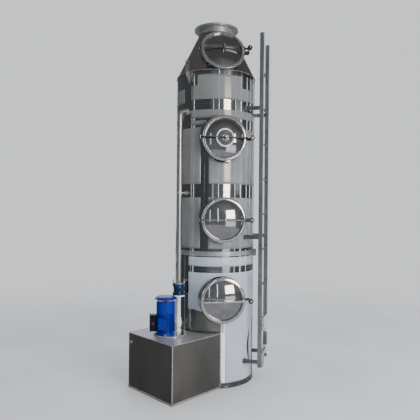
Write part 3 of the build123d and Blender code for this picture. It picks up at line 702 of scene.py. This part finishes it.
# Name: finish, and the (angle, height) outline of each sheet
FILMS = {
    "film_top_band": ("dull grey protective film", [
        [(-137.5, 2.761), (29, 2.761), (29, 2.998), (-41, 2.998), (-41.5, 2.885), (-62, 2.883),
         (-63, 2.998), (-126.7, 3.000), (-127.2, 2.903), (-137.5, 2.900)],
        [(48, 2.761), (190, 2.747), (210, 2.747), (210, 2.884), (190, 2.890), (186, 2.99), (48, 2.99)],
    ]),
    "film_second_band": (
        "dull grey protective film", [[(-138, 2.583), (208, 2.583), (208, 2.66), (-138, 2.662)]]
    ),
    "film_strip": (
        "dull grey protective film", [[(-138, 2.519), (-112, 2.517), (-113, 2.558), (-138, 2.560)]]
    ),
    "film_upper_sheet": ("grey protective film", shell_sheets(1.951, 2.493)),
    "film_middle_sheet": ("grey protective film", shell_sheets(1.331, 1.821)),
    "film_narrow_band": (
        "blue-white protective film", [[(-139.5, 1.160), (204, 1.160), (204, 1.247), (-139.5, 1.250)]]
    ),
    "film_lower_sheet": ("blue-white protective film", [
        [(-139.5, 0.752), (-122, 0.732), (-110, 0.730), (-85, 0.720), (-84.4, 0.046), (-31, 0.050),
         (-27, 0.30), (-29, 0.62), (18, 0.62), (18, 1.098), (-139.5, 1.100)],
        [(34, 0.06), (150, 0.06), (152, 0.56), (204, 0.60), (204, 1.098), (34, 1.098)],
    ]),
    # A near-white strip: painted highlight, where the bare shell mirrors the bright floor.
    "highlight_strip_film_edge": (
        "turned film edge", [[(-90.2, 0.050), (-84.6, 0.047), (-84.9, 0.66), (-91.5, 0.66)]]
    ),
    # Over bare shell: a grey sheet whose colour is painted reflection.
    "reflection_film_behind_pump": (
        "thin clear film", [[(-139, 0.531), (-86.5, 0.531), (-87, 0.715), (-110, 0.722), (-139, 0.742)]]
    ),
}
RIDGED_FILM = "film_lower_sheet"


class TOWER_OT_film(bpy.types.Operator):
    """Lay the protective film over the shell, cut back at the welds"""

    bl_idname = "tower.film"
    bl_label = "Protective Film"

    def execute(self, context):
        sizes = context.scene.tower_sizes
        radius = SHELL_RADIUS + sizes.film_stand
        manhole_clear, inlet_clear = 0.219, 0.2

        def neck_hole(height, clear, facing):
            turns = [math.tau * i / 72 for i in range(72)]
            spots = [(clear * math.cos(t), clear * math.sin(t)) for t in turns]
            return [(facing + math.degrees(math.asin(x / radius)), height + z) for x, z in spots]

        def ridge(angle, height):
            """The lower film has come away along the left of its crescent gap."""
            centre = -39.5 - 8.5 * (1 - ((height - 0.365) / 0.185) ** 2)
            along = math.exp(-(((height - 0.365) / 0.17) ** 6))
            return 0.007 * math.exp(-(((angle - centre) / 1.6) ** 2)) * along

        def flat(angle, height):
            return 0.0

        heights = [manhole_face(name).translation.z for name in MANHOLES[1:]]
        holes = [neck_hole(height, manhole_clear, -90) for height in heights]
        holes.append(neck_hole(middle("gas_inlet").z, inlet_clear, 90))
        holes.append(self.crescent())
        for name, (finish, sheets) in FILMS.items():
            lift, step = (ridge, 9 * MM) if name == RIDGED_FILM else (flat, 16 * MM)
            bm = bmesh.new()
            for outline in sheets:
                wrapped_sheet(bm, outline, holes, radius, lift, step)
            piece(name, bm, finish, thickness=sizes.film_thickness, sharp=30)
        return {"FINISHED"}

    def crescent(self):
        """Outline of the gap where the lower film has split beside the ladder."""
        low, tall = 0.20, 0.33
        bulge = [(i / 10, 1 - (2 * i / 10 - 1) ** 2) for i in range(11)]
        left = [(-39.5 - 7.2 * out, low + tall * share) for share, out in bulge]
        right = [(-38.6 - 2.0 * out, low + tall * share) for share, out in bulge[9:0:-1]]
        return left + right


class TOWER_OT_manholes(bpy.types.Operator):
    """Finish the manholes, and add their domes, rims, gaskets, pins and welds"""

    bl_idname = "tower.manholes"
    bl_label = "Manholes"

    def execute(self, context):
        weld_width = context.scene.tower_sizes.weld_width
        crown = (DOME_RADIUS**2 + DOME_RISE**2) / (2 * DOME_RISE)
        reaches = [DOME_RADIUS * i / 24 + 0.001 for i in range(24)] + [DOME_EDGE]
        dome = [(r, DOME_TOP - crown + math.sqrt(crown**2 - r * r)) for r in reaches]
        flat_dome = DISC + [(r, h) for r, h in dome if r > DISC_EDGE]
        rim = [(0.1838, 0.0013), (0.1845, 0.0044), (0.1864, 0.0062), (0.1877, 0.0140)]
        rim += arc((0.1918, 0.0150), 0.0042, 165, 80, 6)
        rim += arc((0.2105, 0.0112), 0.0045, 75, 0, 6)
        rim += [(0.2150, 0.0003), (0.2120, 0.0003), (0.2120, 0.0108), (0.2095, 0.0128)]
        rim += [(0.1930, 0.0160), (0.1908, 0.0140), (0.1880, 0.0013)]
        for name, bar_finish in zip(MANHOLES, BAR_FINISHES):
            dress("bright rolled stainless", name + "_manhole_neck")
            dress("polished stainless", name + "_manhole_lid")
            # Each lid's bar takes its copy from that list: painted light and shade.
            dress(bar_finish, name + "_clamp_bar")
            dress("dark satin stainless", name + "_hand_screw")
            self.lid(name, flat_dome if name == "upper" else dome, rim)
            self.seat(name, weld_width)
            bm = bmesh.new()
            nut(bm, manhole_face(name) @ raised(NUT_RISE), 17 * MM, 7 * MM)
            lid = name + "_lid"
            piece(name + "_centre_nut", bm, "zinc plated steel", lid, bevel=0.4 * MM)
        self.disc_trim()
        return {"FINISHED"}

    def lid(self, name, sheet, rim):
        face = manhole_face(name)
        body = name + "_lid"
        bm = bmesh.new()
        turn_profile(bm, face, sheet + [(r, h - LID_SHEET) for r, h in sheet[::-1]], 128)
        replaced = (name + "_manhole_lid",)
        piece(name + "_dome", bm, "polished stainless", body, replaced, sharp=20)
        bm = bmesh.new()
        turn_profile(bm, face, rim, 128, round_trip=True)
        piece(name + "_lid_rim", bm, "rolled rim stainless", body, sharp=50)
        bm = bmesh.new()
        cap = face @ Matrix.Translation((SCREW_REACH, 0, KNOB_TOP))
        turn_profile(bm, cap, [(0.0085, 0), (0.0085, 0.002), (0.005, 0.0036), (0.001, 0.004)], 24)
        piece(name + "_knob_cap", bm, "zinc plated steel", body)

    def seat(self, name, weld_width):
        """What stays on the tower when the lid opens."""
        face = manhole_face(name)
        bm = bmesh.new()
        cord = arc((GASKET_RADIUS, 0), 2.2 * MM, 180, 0, 6)
        turn_profile(bm, face @ raised(0.15 * MM), cord, 96, round_trip=True)
        piece(name + "_gasket", bm, "white gasket cord")
        if name != "top":
            bm = bmesh.new()
            weld(bm, on_shell(face, NECK_WELD_RADIUS, 256), 0.8 * weld_width, seed=5)
            piece(name + "_neck_weld", bm, "heat tinted weld")
        bm = bmesh.new()
        for side in (-1, 1):
            end = Matrix.Translation((-HINGE_REACH, side * 13.5 * MM, HINGE_RISE))
            pin = face @ end @ Matrix.Rotation(-side * math.pi / 2, 4, "X")
            turn_profile(bm, pin, [(0.0078, 0), (0.0078, 0.002), (0.006, 0.0045), (0.002, 0.0052)], 24)
        piece(name + "_hinge_pin_heads", bm, "zinc plated steel")

    def disc_trim(self):
        """The ring and the boss on the upper lid's flat disc; the ring's white is partly cord and partly
        painted highlight.
        """
        face = manhole_face("upper")
        bm = bmesh.new()
        bead = arc((79.5 * MM, 31.2 * MM), 7 * MM, -10, 190, 12)
        turn_profile(bm, face, bead, 96, round_trip=True)
        piece("upper_lid_bead", bm, "white gasket cord", "upper_lid")
        bm = bmesh.new()
        turn_profile(bm, face, BOSS, 64)
        piece("upper_lid_boss", bm, "rolled rim stainless", "upper_lid", sharp=25)


class TOWER_OT_sump(bpy.types.Operator):
    """Finish the sump box, round its welded edges and fit its nipple's socket"""

    bl_idname = "tower.sump"
    bl_label = "Sump Box"

    def execute(self, context):
        dress("brushed stainless", "sump_walls")
        # Cover and base take the lighter copy of the wall sheet: painted light on their flat faces.
        dress("brushed cover stainless", "sump_cover", "sump_base")
        dress("rolled rim stainless", "pump_plate")
        out = around(SUMP_ANGLE, 1, 0)
        side = around(SUMP_ANGLE + 90, 1, 0)
        half, inset, end_gap = SUMP_HALF_WIDTH, 4 * MM, 6 * MM
        top, foot = UP * (SUMP_TOP - 1.5 * MM), UP * 13 * MM
        start = math.sqrt(SHELL_RADIUS**2 - half**2)
        swing = math.degrees(math.asin(half / SHELL_RADIUS)) + 0.4
        bm = bmesh.new()
        edges = [[out * SUMP_END + side * sign * (half - end_gap) for sign in (-1, 1)]]
        for sign in (-1, 1):
            corner = out * (SUMP_END - inset) + side * sign * (half - inset)
            tube(bm, [corner + UP * 12 * MM, corner + UP * (SUMP_TOP - 2 * MM)], 4.2 * MM, 12)
            edges.append([out * reach + side * sign * half for reach in (start, SUMP_END - end_gap)])
            meet = around(SUMP_ANGLE + sign * swing, SHELL_RADIUS, 0)
            tube(bm, [meet + UP * 20 * MM, meet + UP * (SUMP_TOP - 2 * MM)], 4.5 * MM, 8)
        for edge in edges:
            tube(bm, [p + top for p in edge], 2.8 * MM, 8)
            tube(bm, [p + foot for p in edge], 3 * MM, 8)
        nipple = out * (SUMP_END + NIPPLE_OUT) - side * NIPPLE_SIDE + UP * (SUMP_TOP - NIPPLE_DROP)
        socket = [(0.0112, 0), (0.0155, 0), (0.016, 0.001), (0.016, 0.011), (0.0112, 0.011)]
        turn_profile(bm, placed(nipple, out), socket, 32, round_trip=True)
        piece("sump_corner_welds", bm, "pickled stainless")
        bm = bmesh.new()
        turns = [2 * COVER_WELD_SWING * i / 150 - COVER_WELD_SWING for i in range(151)]
        path = [around(SUMP_ANGLE + t, SHELL_RADIUS + 1 * MM, SUMP_TOP) for t in turns]
        weld(bm, path, 8 * MM, closed=False, seed=6)
        piece("sump_shell_weld", bm, "heat tinted weld")
        return {"FINISHED"}


class TOWER_OT_pump(bpy.types.Operator):
    """Finish the pump and its motor, and add bolts and fittings"""

    bl_idname = "tower.pump"
    bl_label = "Pump"

    def execute(self, context):
        sizes = context.scene.tower_sizes
        dress("blue motor enamel", "pump_motor", "fan_cowl", "rain_cap")
        dress("dark box enamel", "terminal_box")
        pump = around(SUMP_ANGLE, PUMP_REACH, 0)
        plate = middle("pump_plate").xy.to_3d()
        bm = bmesh.new()
        level = Matrix.Translation(plate + UP * (PLATE_TOP - 3 * MM))
        hoop(bm, level, PLATE_RADIUS - 1 * MM, 5.5 * MM, 96)
        piece("plate_edge", bm, "pickled stainless")
        self.guard(pump)
        bm = bmesh.new()
        facing = around(MOTOR_PANEL_ANGLE, 1, 0)
        place = placed(pump + UP * MOTOR_PANEL_HEIGHT + facing * 80 * MM, facing)
        slab(bm, place, 78 * MM, 108 * MM, 18 * MM, 2 * MM)
        piece("motor_panel", bm, "blue motor enamel", bevel=1.5 * MM)
        bm = bmesh.new()
        low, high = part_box("terminal_box")
        mouth = Vector(((low.x + high.x) / 2 - 4 * MM, low.y, CABLE_ENTRY_HEIGHT))
        entry = placed(mouth, (0, -1, 0))
        plug = [(0.017, 0), (0.017, 0.005), (0.013, 0.008), (0.006, 0.0095), (0.001, 0.0095)]
        turn_profile(bm, entry, plug, 24)
        piece("entry_plug", bm, "red polyethylene")
        bm = bmesh.new()
        for i in range(sizes.plate_bolts):
            spot = plate + around(SUMP_ANGLE + 30 + 360 * i / sizes.plate_bolts, 138 * MM, PLATE_TOP)
            screw_end(bm, Matrix.Translation(spot), sizes.bolt_diameter, 22 * MM)
        piece("plate_bolts", bm, "zinc plated steel", bevel=0.4 * MM)
        bm = bmesh.new()
        cap_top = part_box("rain_cap")[1].z
        feet = (81 * MM, PLATE_TOP + 12 * MM, 13 * MM, 8 * MM)
        studs = (68 * MM, cap_top - 7.5 * MM, 10 * MM, 5 * MM)
        for radius, level, across, height in (feet, studs):
            for i in range(4):
                spot = pump + around(SUMP_ANGLE + 45 + 90 * i, radius, level)
                nut(bm, Matrix.Translation(spot), across, height)
        piece("motor_bolts", bm, "zinc plated steel", bevel=0.4 * MM)
        return {"FINISHED"}

    def guard(self, pump):
        """The guard in the gap between the fan's cowl and the rain cap, with its three bars, near black as
        painted shade for the gap.
        """
        bm = bmesh.new()
        top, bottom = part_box("rain_cap")[0].z + 12 * MM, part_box("fan_cowl")[1].z - 1 * MM
        place = Matrix.Translation(pump + UP * bottom)
        inner, outer, bar = 76 * MM, 82 * MM, 84 * MM
        wall = [(inner, 0), (outer, 0), (outer, top - bottom), (inner, top - bottom)]
        turn_profile(bm, place, wall, 48, round_trip=True)
        for low in (2 * MM, 6 * MM, 10 * MM):
            high, root = low + 1.6 * MM, outer - 1 * MM
            section = [(root, low), (bar, low), (bar, high), (root, high)]
            turn_profile(bm, place, section, 48, round_trip=True)
        # Near black: painted shade in the gap under the cap.
        piece("shaded_fan_grille", bm, "dark box enamel")


class TOWER_OT_pipework(bpy.types.Operator):
    """Finish the discharge line and build its flexible joint"""

    bl_idname = "tower.pipework"
    bl_label = "Discharge Line"

    def execute(self, context):
        dress("white polypropylene", "discharge_pipe")
        dress("rolled rim stainless", "riser_flange")
        dress("drawn stainless", "riser_pipe")
        dress("pickled stainless", "riser_boss", "riser_bracket")
        axis = RISER_PLACE.xy.to_3d()
        place = Matrix.Translation(axis)
        low, high = (corner.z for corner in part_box("flexible_joint"))
        bm = bmesh.new()
        lower = [(0.03, 0), (0.0575, 0), (0.059, 0.0015), (0.059, 0.0215), (0.0575, 0.023), (0.03, 0.023)]
        turn_profile(bm, place @ raised(low), lower, 64, round_trip=True)
        upper = [(0.03, -0.053), (0.049, -0.053), (0.0515, -0.050), (0.0515, -0.021), (0.0575, -0.020)]
        upper += [(0.059, -0.0185), (0.059, -0.0015), (0.0575, 0), (0.03, 0)]
        turn_profile(bm, place @ raised(high), upper, 64, round_trip=True)
        piece("joint_flanges", bm, "blue joint enamel")
        bm = bmesh.new()
        bore, neck, shoulder = 18.5 * MM, 34 * MM, 42 * MM
        body = [(bore, low), (neck, low), (shoulder, low + 22 * MM)]
        body += arc((neck, low + 39 * MM), 15.5 * MM, -60, 60, 10)
        body += [(shoulder, low + 56 * MM), (neck, high), (bore, high)]
        turn_profile(bm, place, body, 64, round_trip=True)
        piece("joint_body", bm, "moulded rubber", stands_for=("flexible_joint",), sharp=60)
        bm = bmesh.new()
        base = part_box("riser_flange")[1].z
        for i in range(4):
            spot = axis + around(SUMP_ANGLE - 29 + 90 * i, 52.5 * MM, 0)
            screw_end(bm, Matrix.Translation(spot + UP * base), 10 * MM, 34 * MM)
            for level in (low + 23 * MM, high - 28 * MM):
                nut(bm, Matrix.Translation(spot + UP * level), 15 * MM, 8 * MM)
        piece("joint_bolts", bm, "zinc plated steel", bevel=0.3 * MM)
        return {"FINISHED"}


class TOWER_OT_ladder(bpy.types.Operator):
    """Finish the ladder, and add its pads, bolts and the film left on its rails"""

    bl_idname = "tower.ladder"
    bl_label = "Ladder"

    def execute(self, context):
        # The rails take a lighter copy of the satin bar: painted light.
        dress("light satin stainless", "ladder_rails")
        dress("satin stainless", "ladder_rungs", "ladder_stays")
        stand = context.scene.tower_sizes.rail_stand
        swing = math.degrees(math.asin(stand / SHELL_RADIUS))
        self.stay_roots((LADDER_ANGLE - swing, LADDER_ANGLE + swing))
        across, along = around(LADDER_ANGLE, 1, 0), around(LADDER_ANGLE + 90, 1, 0)
        draw = random.Random(11)
        self.wrapping(across * LADDER_REACH + along * stand, across, along, draw)
        self.shreds(across * LADDER_REACH - along * stand, across, along, draw)
        return {"FINISHED"}

    def stay_roots(self, angles):
        bm = bmesh.new()
        pad = [(0.026, -0.004), (0.026, 0.004), (0.023, 0.007), (0.004, 0.007)]
        for angle in angles:
            for height in STAY_HEIGHTS:
                seat = placed(around(angle, SHELL_RADIUS, height), around(angle, 1, 0))
                turn_profile(bm, seat, pad, 32)
        piece("stay_pads", bm, "satin stainless", sharp=30)
        bm = bmesh.new()
        for angle in angles:
            for rise in (-29 * MM, 29 * MM):
                spot = around(angle, SHELL_RADIUS - 2 * MM, STAY_HEIGHTS[0] + rise)
                nut(bm, placed(spot, around(angle, 1, 0)), 13 * MM, 14 * MM)
        piece("stay_bolts", bm, "zinc plated steel", bevel=0.4 * MM)

    def wrapping(self, rail, across, along, draw):
        """Crumpled film still wound round the rear rail, in two places."""
        bm = bmesh.new()
        step, count = 8 * MM, 28
        half_depth, half_width = 23.5 * MM, 12.5 * MM
        for low, high in WRAPPED_HEIGHTS:
            rings = []
            for i in range(round((high - low) / step) + 1):
                points = []
                for k in range(count):
                    angle = math.tau * k / count
                    flat = Vector((math.cos(angle), math.sin(angle)))
                    reach = 1 / max(abs(flat.x) / half_depth, abs(flat.y) / half_width)
                    spot = flat * (reach + draw.uniform(0.0002, 0.0065))
                    point = rail + across * spot.x + along * spot.y + UP * (low + step * i)
                    point.x = min(point.x, cad_box[1][0])
                    points.append(point)
                rings.append(points)
            skin(bm, rings, ends=False)
        piece("rail_wrapping", bm, "crumpled clear film", sharp=25)

    def shreds(self, rail, across, along, draw):
        """Torn film that stands out from the foot of the front rail."""
        bm = bmesh.new()
        step = 9 * MM
        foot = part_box("ladder_rails")[0].z
        for low, high, width in SHREDS_OVER_FOOT:
            rows = round((high - low) / step)
            sheet = []
            for i in range(rows + 1):
                taper = math.sin(math.pi * (0.12 + 0.8 * i / rows))
                reach = width * taper * draw.uniform(0.6, 1.0) + 2 * MM
                row = []
                for k in range(7):
                    out = 21.5 * MM + reach * k / 6
                    fold = 9 * MM * math.sin(2.1 * k + 0.9 * i) + draw.uniform(-0.003, 0.003)
                    height = foot + low + step * i + draw.uniform(0, 0.004)
                    row.append(bm.verts.new(rail + across * out + along * fold + UP * height))
                sheet.append(row)
            for lower, upper in zip(sheet, sheet[1:]):
                for k in range(6):
                    bm.faces.new((lower[k], lower[k + 1], upper[k + 1], upper[k]))
        piece("rail_shreds", bm, "crumpled clear film", thickness=0.3 * MM, sharp=25)


# Light panels: name, angle, reach, height, width, tall, watts, tint, and what they light.
# Those in mirrors only show in the steel, the soft one only lights, and both does both.
PANELS = (
    ("window", -66, 30.0, 6.7, 9.4, 8.4, 2750, "#FFEFD8", "mirrors"),
    ("key", -60, 7.0, 2.8, 5.0, 5.0, 620, "#F4F7FF", "soft"),
    ("front_strip", -91, 30.0, 6.4, 0.5, 14.0, 120, "#F4F6FF", "mirrors"),
    ("front_left_strip", -107, 30.0, 5.4, 0.8, 12.0, 60, "#EEF2FF", "mirrors"),
    ("left_strip", -165, 30.0, 3.2, 0.8, 16.4, 120, "#F6F6F0", "mirrors"),
    ("right_strip", -41, 30.0, 3.2, 0.8, 16.4, 120, "#F4F6FF", "mirrors"),
    ("right_glow", -31, 31.0, 6.4, 12.0, 7.0, 150, "#F6F4EE", "mirrors"),
    ("far_right_strip", -21, 30.0, 3.2, 1.6, 16.4, 270, "#F4FFF8", "mirrors"),
    ("side_strip_1", 3, 30.0, 3.2, 1.3, 16.4, 175, "#F4F6FF", "mirrors"),
    ("side_strip_2", 22, 30.0, 5.4, 2.2, 12.0, 230, "#F4F6FF", "mirrors"),
    ("side_strip_3", 48, 30.0, 5.4, 2.6, 12.0, 200, "#F4F6FF", "mirrors"),
    ("rear_panel", 84, 20.0, 6.0, 12.0, 11.0, 420, "#F2F5FF", "both"),
)
WINDOW_ANGLE = PANELS[0][1]

# Lit stretches of floor under the window: near and far edge in metres, and brightness
FLOOR_PATCHES = ((7, 9, 1.3), (9, 12, 1.6), (12, 16, 1.5), (16, 21, 1.2), (21, 28, 1.1))
PATCH_SPREAD = 0.34
NEAR_FLOOR = {"angle": -95, "reach": 4.8, "width": 8.0, "glow": 0.27}


class TOWER_OT_studio(bpy.types.Operator):
    """Set the floor, the lights and the camera"""

    bl_idname = "tower.studio"
    bl_label = "Studio"

    def execute(self, context):
        self.floor(context)
        for name, angle, reach, height, width, tall, watts, tint, seen in PANELS:
            spot = around(angle, reach, height)
            facing = placed(spot, spot - Vector((0, 0, height)))
            self.lamp(context, name, (width, tall), watts, facing, tint, seen)
        self.lit_floor(context)
        self.sky(context)
        self.camera(context)
        return {"FINISHED"}

    def floor(self, context):
        radius = context.scene.tower_studio.floor_radius
        bm = bmesh.new()
        bmesh.ops.create_circle(bm, cap_ends=True, segments=96, radius=radius)
        mesh = bpy.data.meshes.new("studio_floor")
        bm.to_mesh(mesh)
        bm.free()
        floor = bpy.data.objects.new("studio_floor", mesh)
        mesh.materials.append(material("painted studio floor"))
        context.scene.collection.objects.link(floor)
        floor.visible_glossy = False

    def lamp(self, context, name, size, watts, place, tint, seen):
        """An area light: a disc where size is one number, else a rectangle."""
        light = bpy.data.lights.new(name, "AREA")
        if isinstance(size, float):
            light.shape = "DISK"
            light.size = size
        else:
            light.shape = "RECTANGLE"
            light.size, light.size_y = size
        light.energy = watts
        light.color = linear(tint)[:3]
        lamp = bpy.data.objects.new(name, light)
        lamp.matrix_world = place
        lamp.visible_camera = False
        lamp.visible_glossy = seen != "soft"
        lamp.visible_diffuse = seen != "mirrors"
        context.scene.collection.objects.link(lamp)

    def lit_floor(self, context):
        """The room's floor, bright before the window and dimmer close by, as the steel mirrors it."""
        upward = Matrix.Rotation(math.pi, 4, "Y")
        heading = Matrix.Rotation(math.radians(WINDOW_ANGLE - 90), 4, "Z")
        for near, far, glow in FLOOR_PATCHES:
            centre = (near + far) / 2
            width, deep = PATCH_SPREAD * centre, far - near
            place = Matrix.Translation(around(WINDOW_ANGLE, centre, 0.02)) @ heading @ upward
            watts = glow * math.pi * width * deep
            self.lamp(context, f"floor_glow_{near}_m", (width, deep), watts, place, "#F6F3F4", "mirrors")
        width = NEAR_FLOOR["width"]
        place = Matrix.Translation(around(NEAR_FLOOR["angle"], NEAR_FLOOR["reach"], 0.01)) @ upward
        watts = NEAR_FLOOR["glow"] * math.pi * math.pi * (width / 2) ** 2
        self.lamp(context, "near_floor", width, watts, place, "#FFFFFF", "mirrors")

    def sky(self, context):
        """Soft even light, with a darker room for the steel to mirror."""
        world = bpy.data.worlds.new("studio light")
        context.scene.world = world
        world.use_nodes = True
        tree = world.node_tree
        tree.nodes.clear()
        way = add_node(tree, "ShaderNodeTexCoord").outputs["Generated"]
        parts = add_node(tree, "ShaderNodeSeparateXYZ", {0: way}).outputs
        rise, across = parts["Z"], parts["X"]

        def near_to(direction, low, high):
            """From 0 to 1 as a direction comes closer to this one, by the cosine between them."""
            inputs = {0: way, 1: direction.normalized()}
            cosine = add_node(tree, "ShaderNodeVectorMath", inputs, operation="DOT_PRODUCT")
            return spread(tree, cosine.outputs["Value"], low, high, soft=True)

        high = spread(tree, rise, 0.0, 0.8)
        low = spread(tree, rise, -0.35, -0.02)
        side = spread(tree, across, -0.95, -0.5)
        ground = tinted(tree, side, "#454648", "#7C7D7C")
        dark_ground = tinted(tree, low, ground, "#54595E")
        dark_walls = tinted(tree, high, dark_ground, "#68635F")
        level = spread(tree, rise, -0.16, 0.06, soft=True)
        steep = spread(tree, rise, -0.75, -0.30)
        bay = near_to(around(-58, 1, 0.6), 0.80, 0.97)
        lit_ground = tinted(tree, steep, "#6A6B6F", "#84868C")
        upper_walls = tinted(tree, bay, "#82858A", "#A0A2A5")
        lit_walls = tinted(tree, level, lit_ground, upper_walls)
        walls = tinted(tree, near_to(around(-80, 1, -0.1), 0.68, 0.93), dark_walls, lit_walls)
        fill = tinted(tree, high, "#7C7F84", "#F2F4F8")

        def background(tint, strength):
            inputs = {"Color": tint, "Strength": strength}
            return add_node(tree, "ShaderNodeBackground", inputs).outputs[0]

        soft, room = background(fill, 1.4), background(walls, 1.0)
        backdrop = background(linear("#D9DBDD"), 1.3)
        ray = add_node(tree, "ShaderNodeLightPath").outputs
        lit = add_node(tree, "ShaderNodeMixShader", {0: ray["Is Glossy Ray"], 1: soft, 2: room}).outputs[0]
        shown = add_node(tree, "ShaderNodeMixShader", {0: ray["Is Camera Ray"], 1: lit, 2: backdrop})
        add_node(tree, "ShaderNodeOutputWorld", {"Surface": shown.outputs[0]})

    def camera(self, context):
        settings = context.scene.tower_studio
        camera = bpy.data.objects.new("camera", bpy.data.cameras.new("camera"))
        context.scene.collection.objects.link(camera)
        camera.data.lens = settings.lens
        camera.data.sensor_width = 36
        ahead = around(math.degrees(settings.heading), math.cos(settings.pitch), math.sin(settings.pitch))
        right = ahead.cross(UP).normalized()
        top = right.cross(ahead)
        rolled = right * math.cos(settings.roll) + top * math.sin(settings.roll)
        upright = -right * math.sin(settings.roll) + top * math.cos(settings.roll)
        turned = Matrix((rolled, upright, -ahead)).transposed().to_4x4()
        camera.matrix_world = Matrix.Translation(settings.camera_place) @ turned
        context.scene.camera = camera


class TOWER_PT_panel(bpy.types.Panel):
    """The tower's operators, sizes and colours"""

    bl_idname = "TOWER_PT_panel"
    bl_label = "Gas Absorption Tower"
    bl_space_type = "VIEW_3D"
    bl_region_type = "UI"
    bl_category = "Tower"

    def draw(self, context):
        layout = self.layout
        for operator in OPERATORS:
            layout.operator(operator.bl_idname)
        for group in GROUPS:
            column = layout.column(align=True)
            settings = getattr(context.scene, group)
            for name in settings.__annotations__:
                column.prop(settings, name)


OPERATORS = (
    TOWER_OT_shell,
    TOWER_OT_film,
    TOWER_OT_manholes,
    TOWER_OT_sump,
    TOWER_OT_pump,
    TOWER_OT_pipework,
    TOWER_OT_ladder,
    TOWER_OT_studio,
)
GROUPS = {"tower_sizes": TowerSizes, "tower_colours": TowerColours, "tower_studio": StudioSettings}


def register():
    for kind in (*GROUPS.values(), *OPERATORS, TOWER_PT_panel):
        bpy.utils.register_class(kind)
    for name, group in GROUPS.items():
        setattr(bpy.types.Scene, name, PointerProperty(type=group))


def unregister():
    for name in GROUPS:
        delattr(bpy.types.Scene, name)
    for kind in reversed((*GROUPS.values(), *OPERATORS, TOWER_PT_panel)):
        bpy.utils.unregister_class(kind)


def main():
    register()
    for operator in OPERATORS:
        group, name = operator.bl_idname.split(".")
        getattr(getattr(bpy.ops, group), name)()


if __name__ == "__main__":
    main()
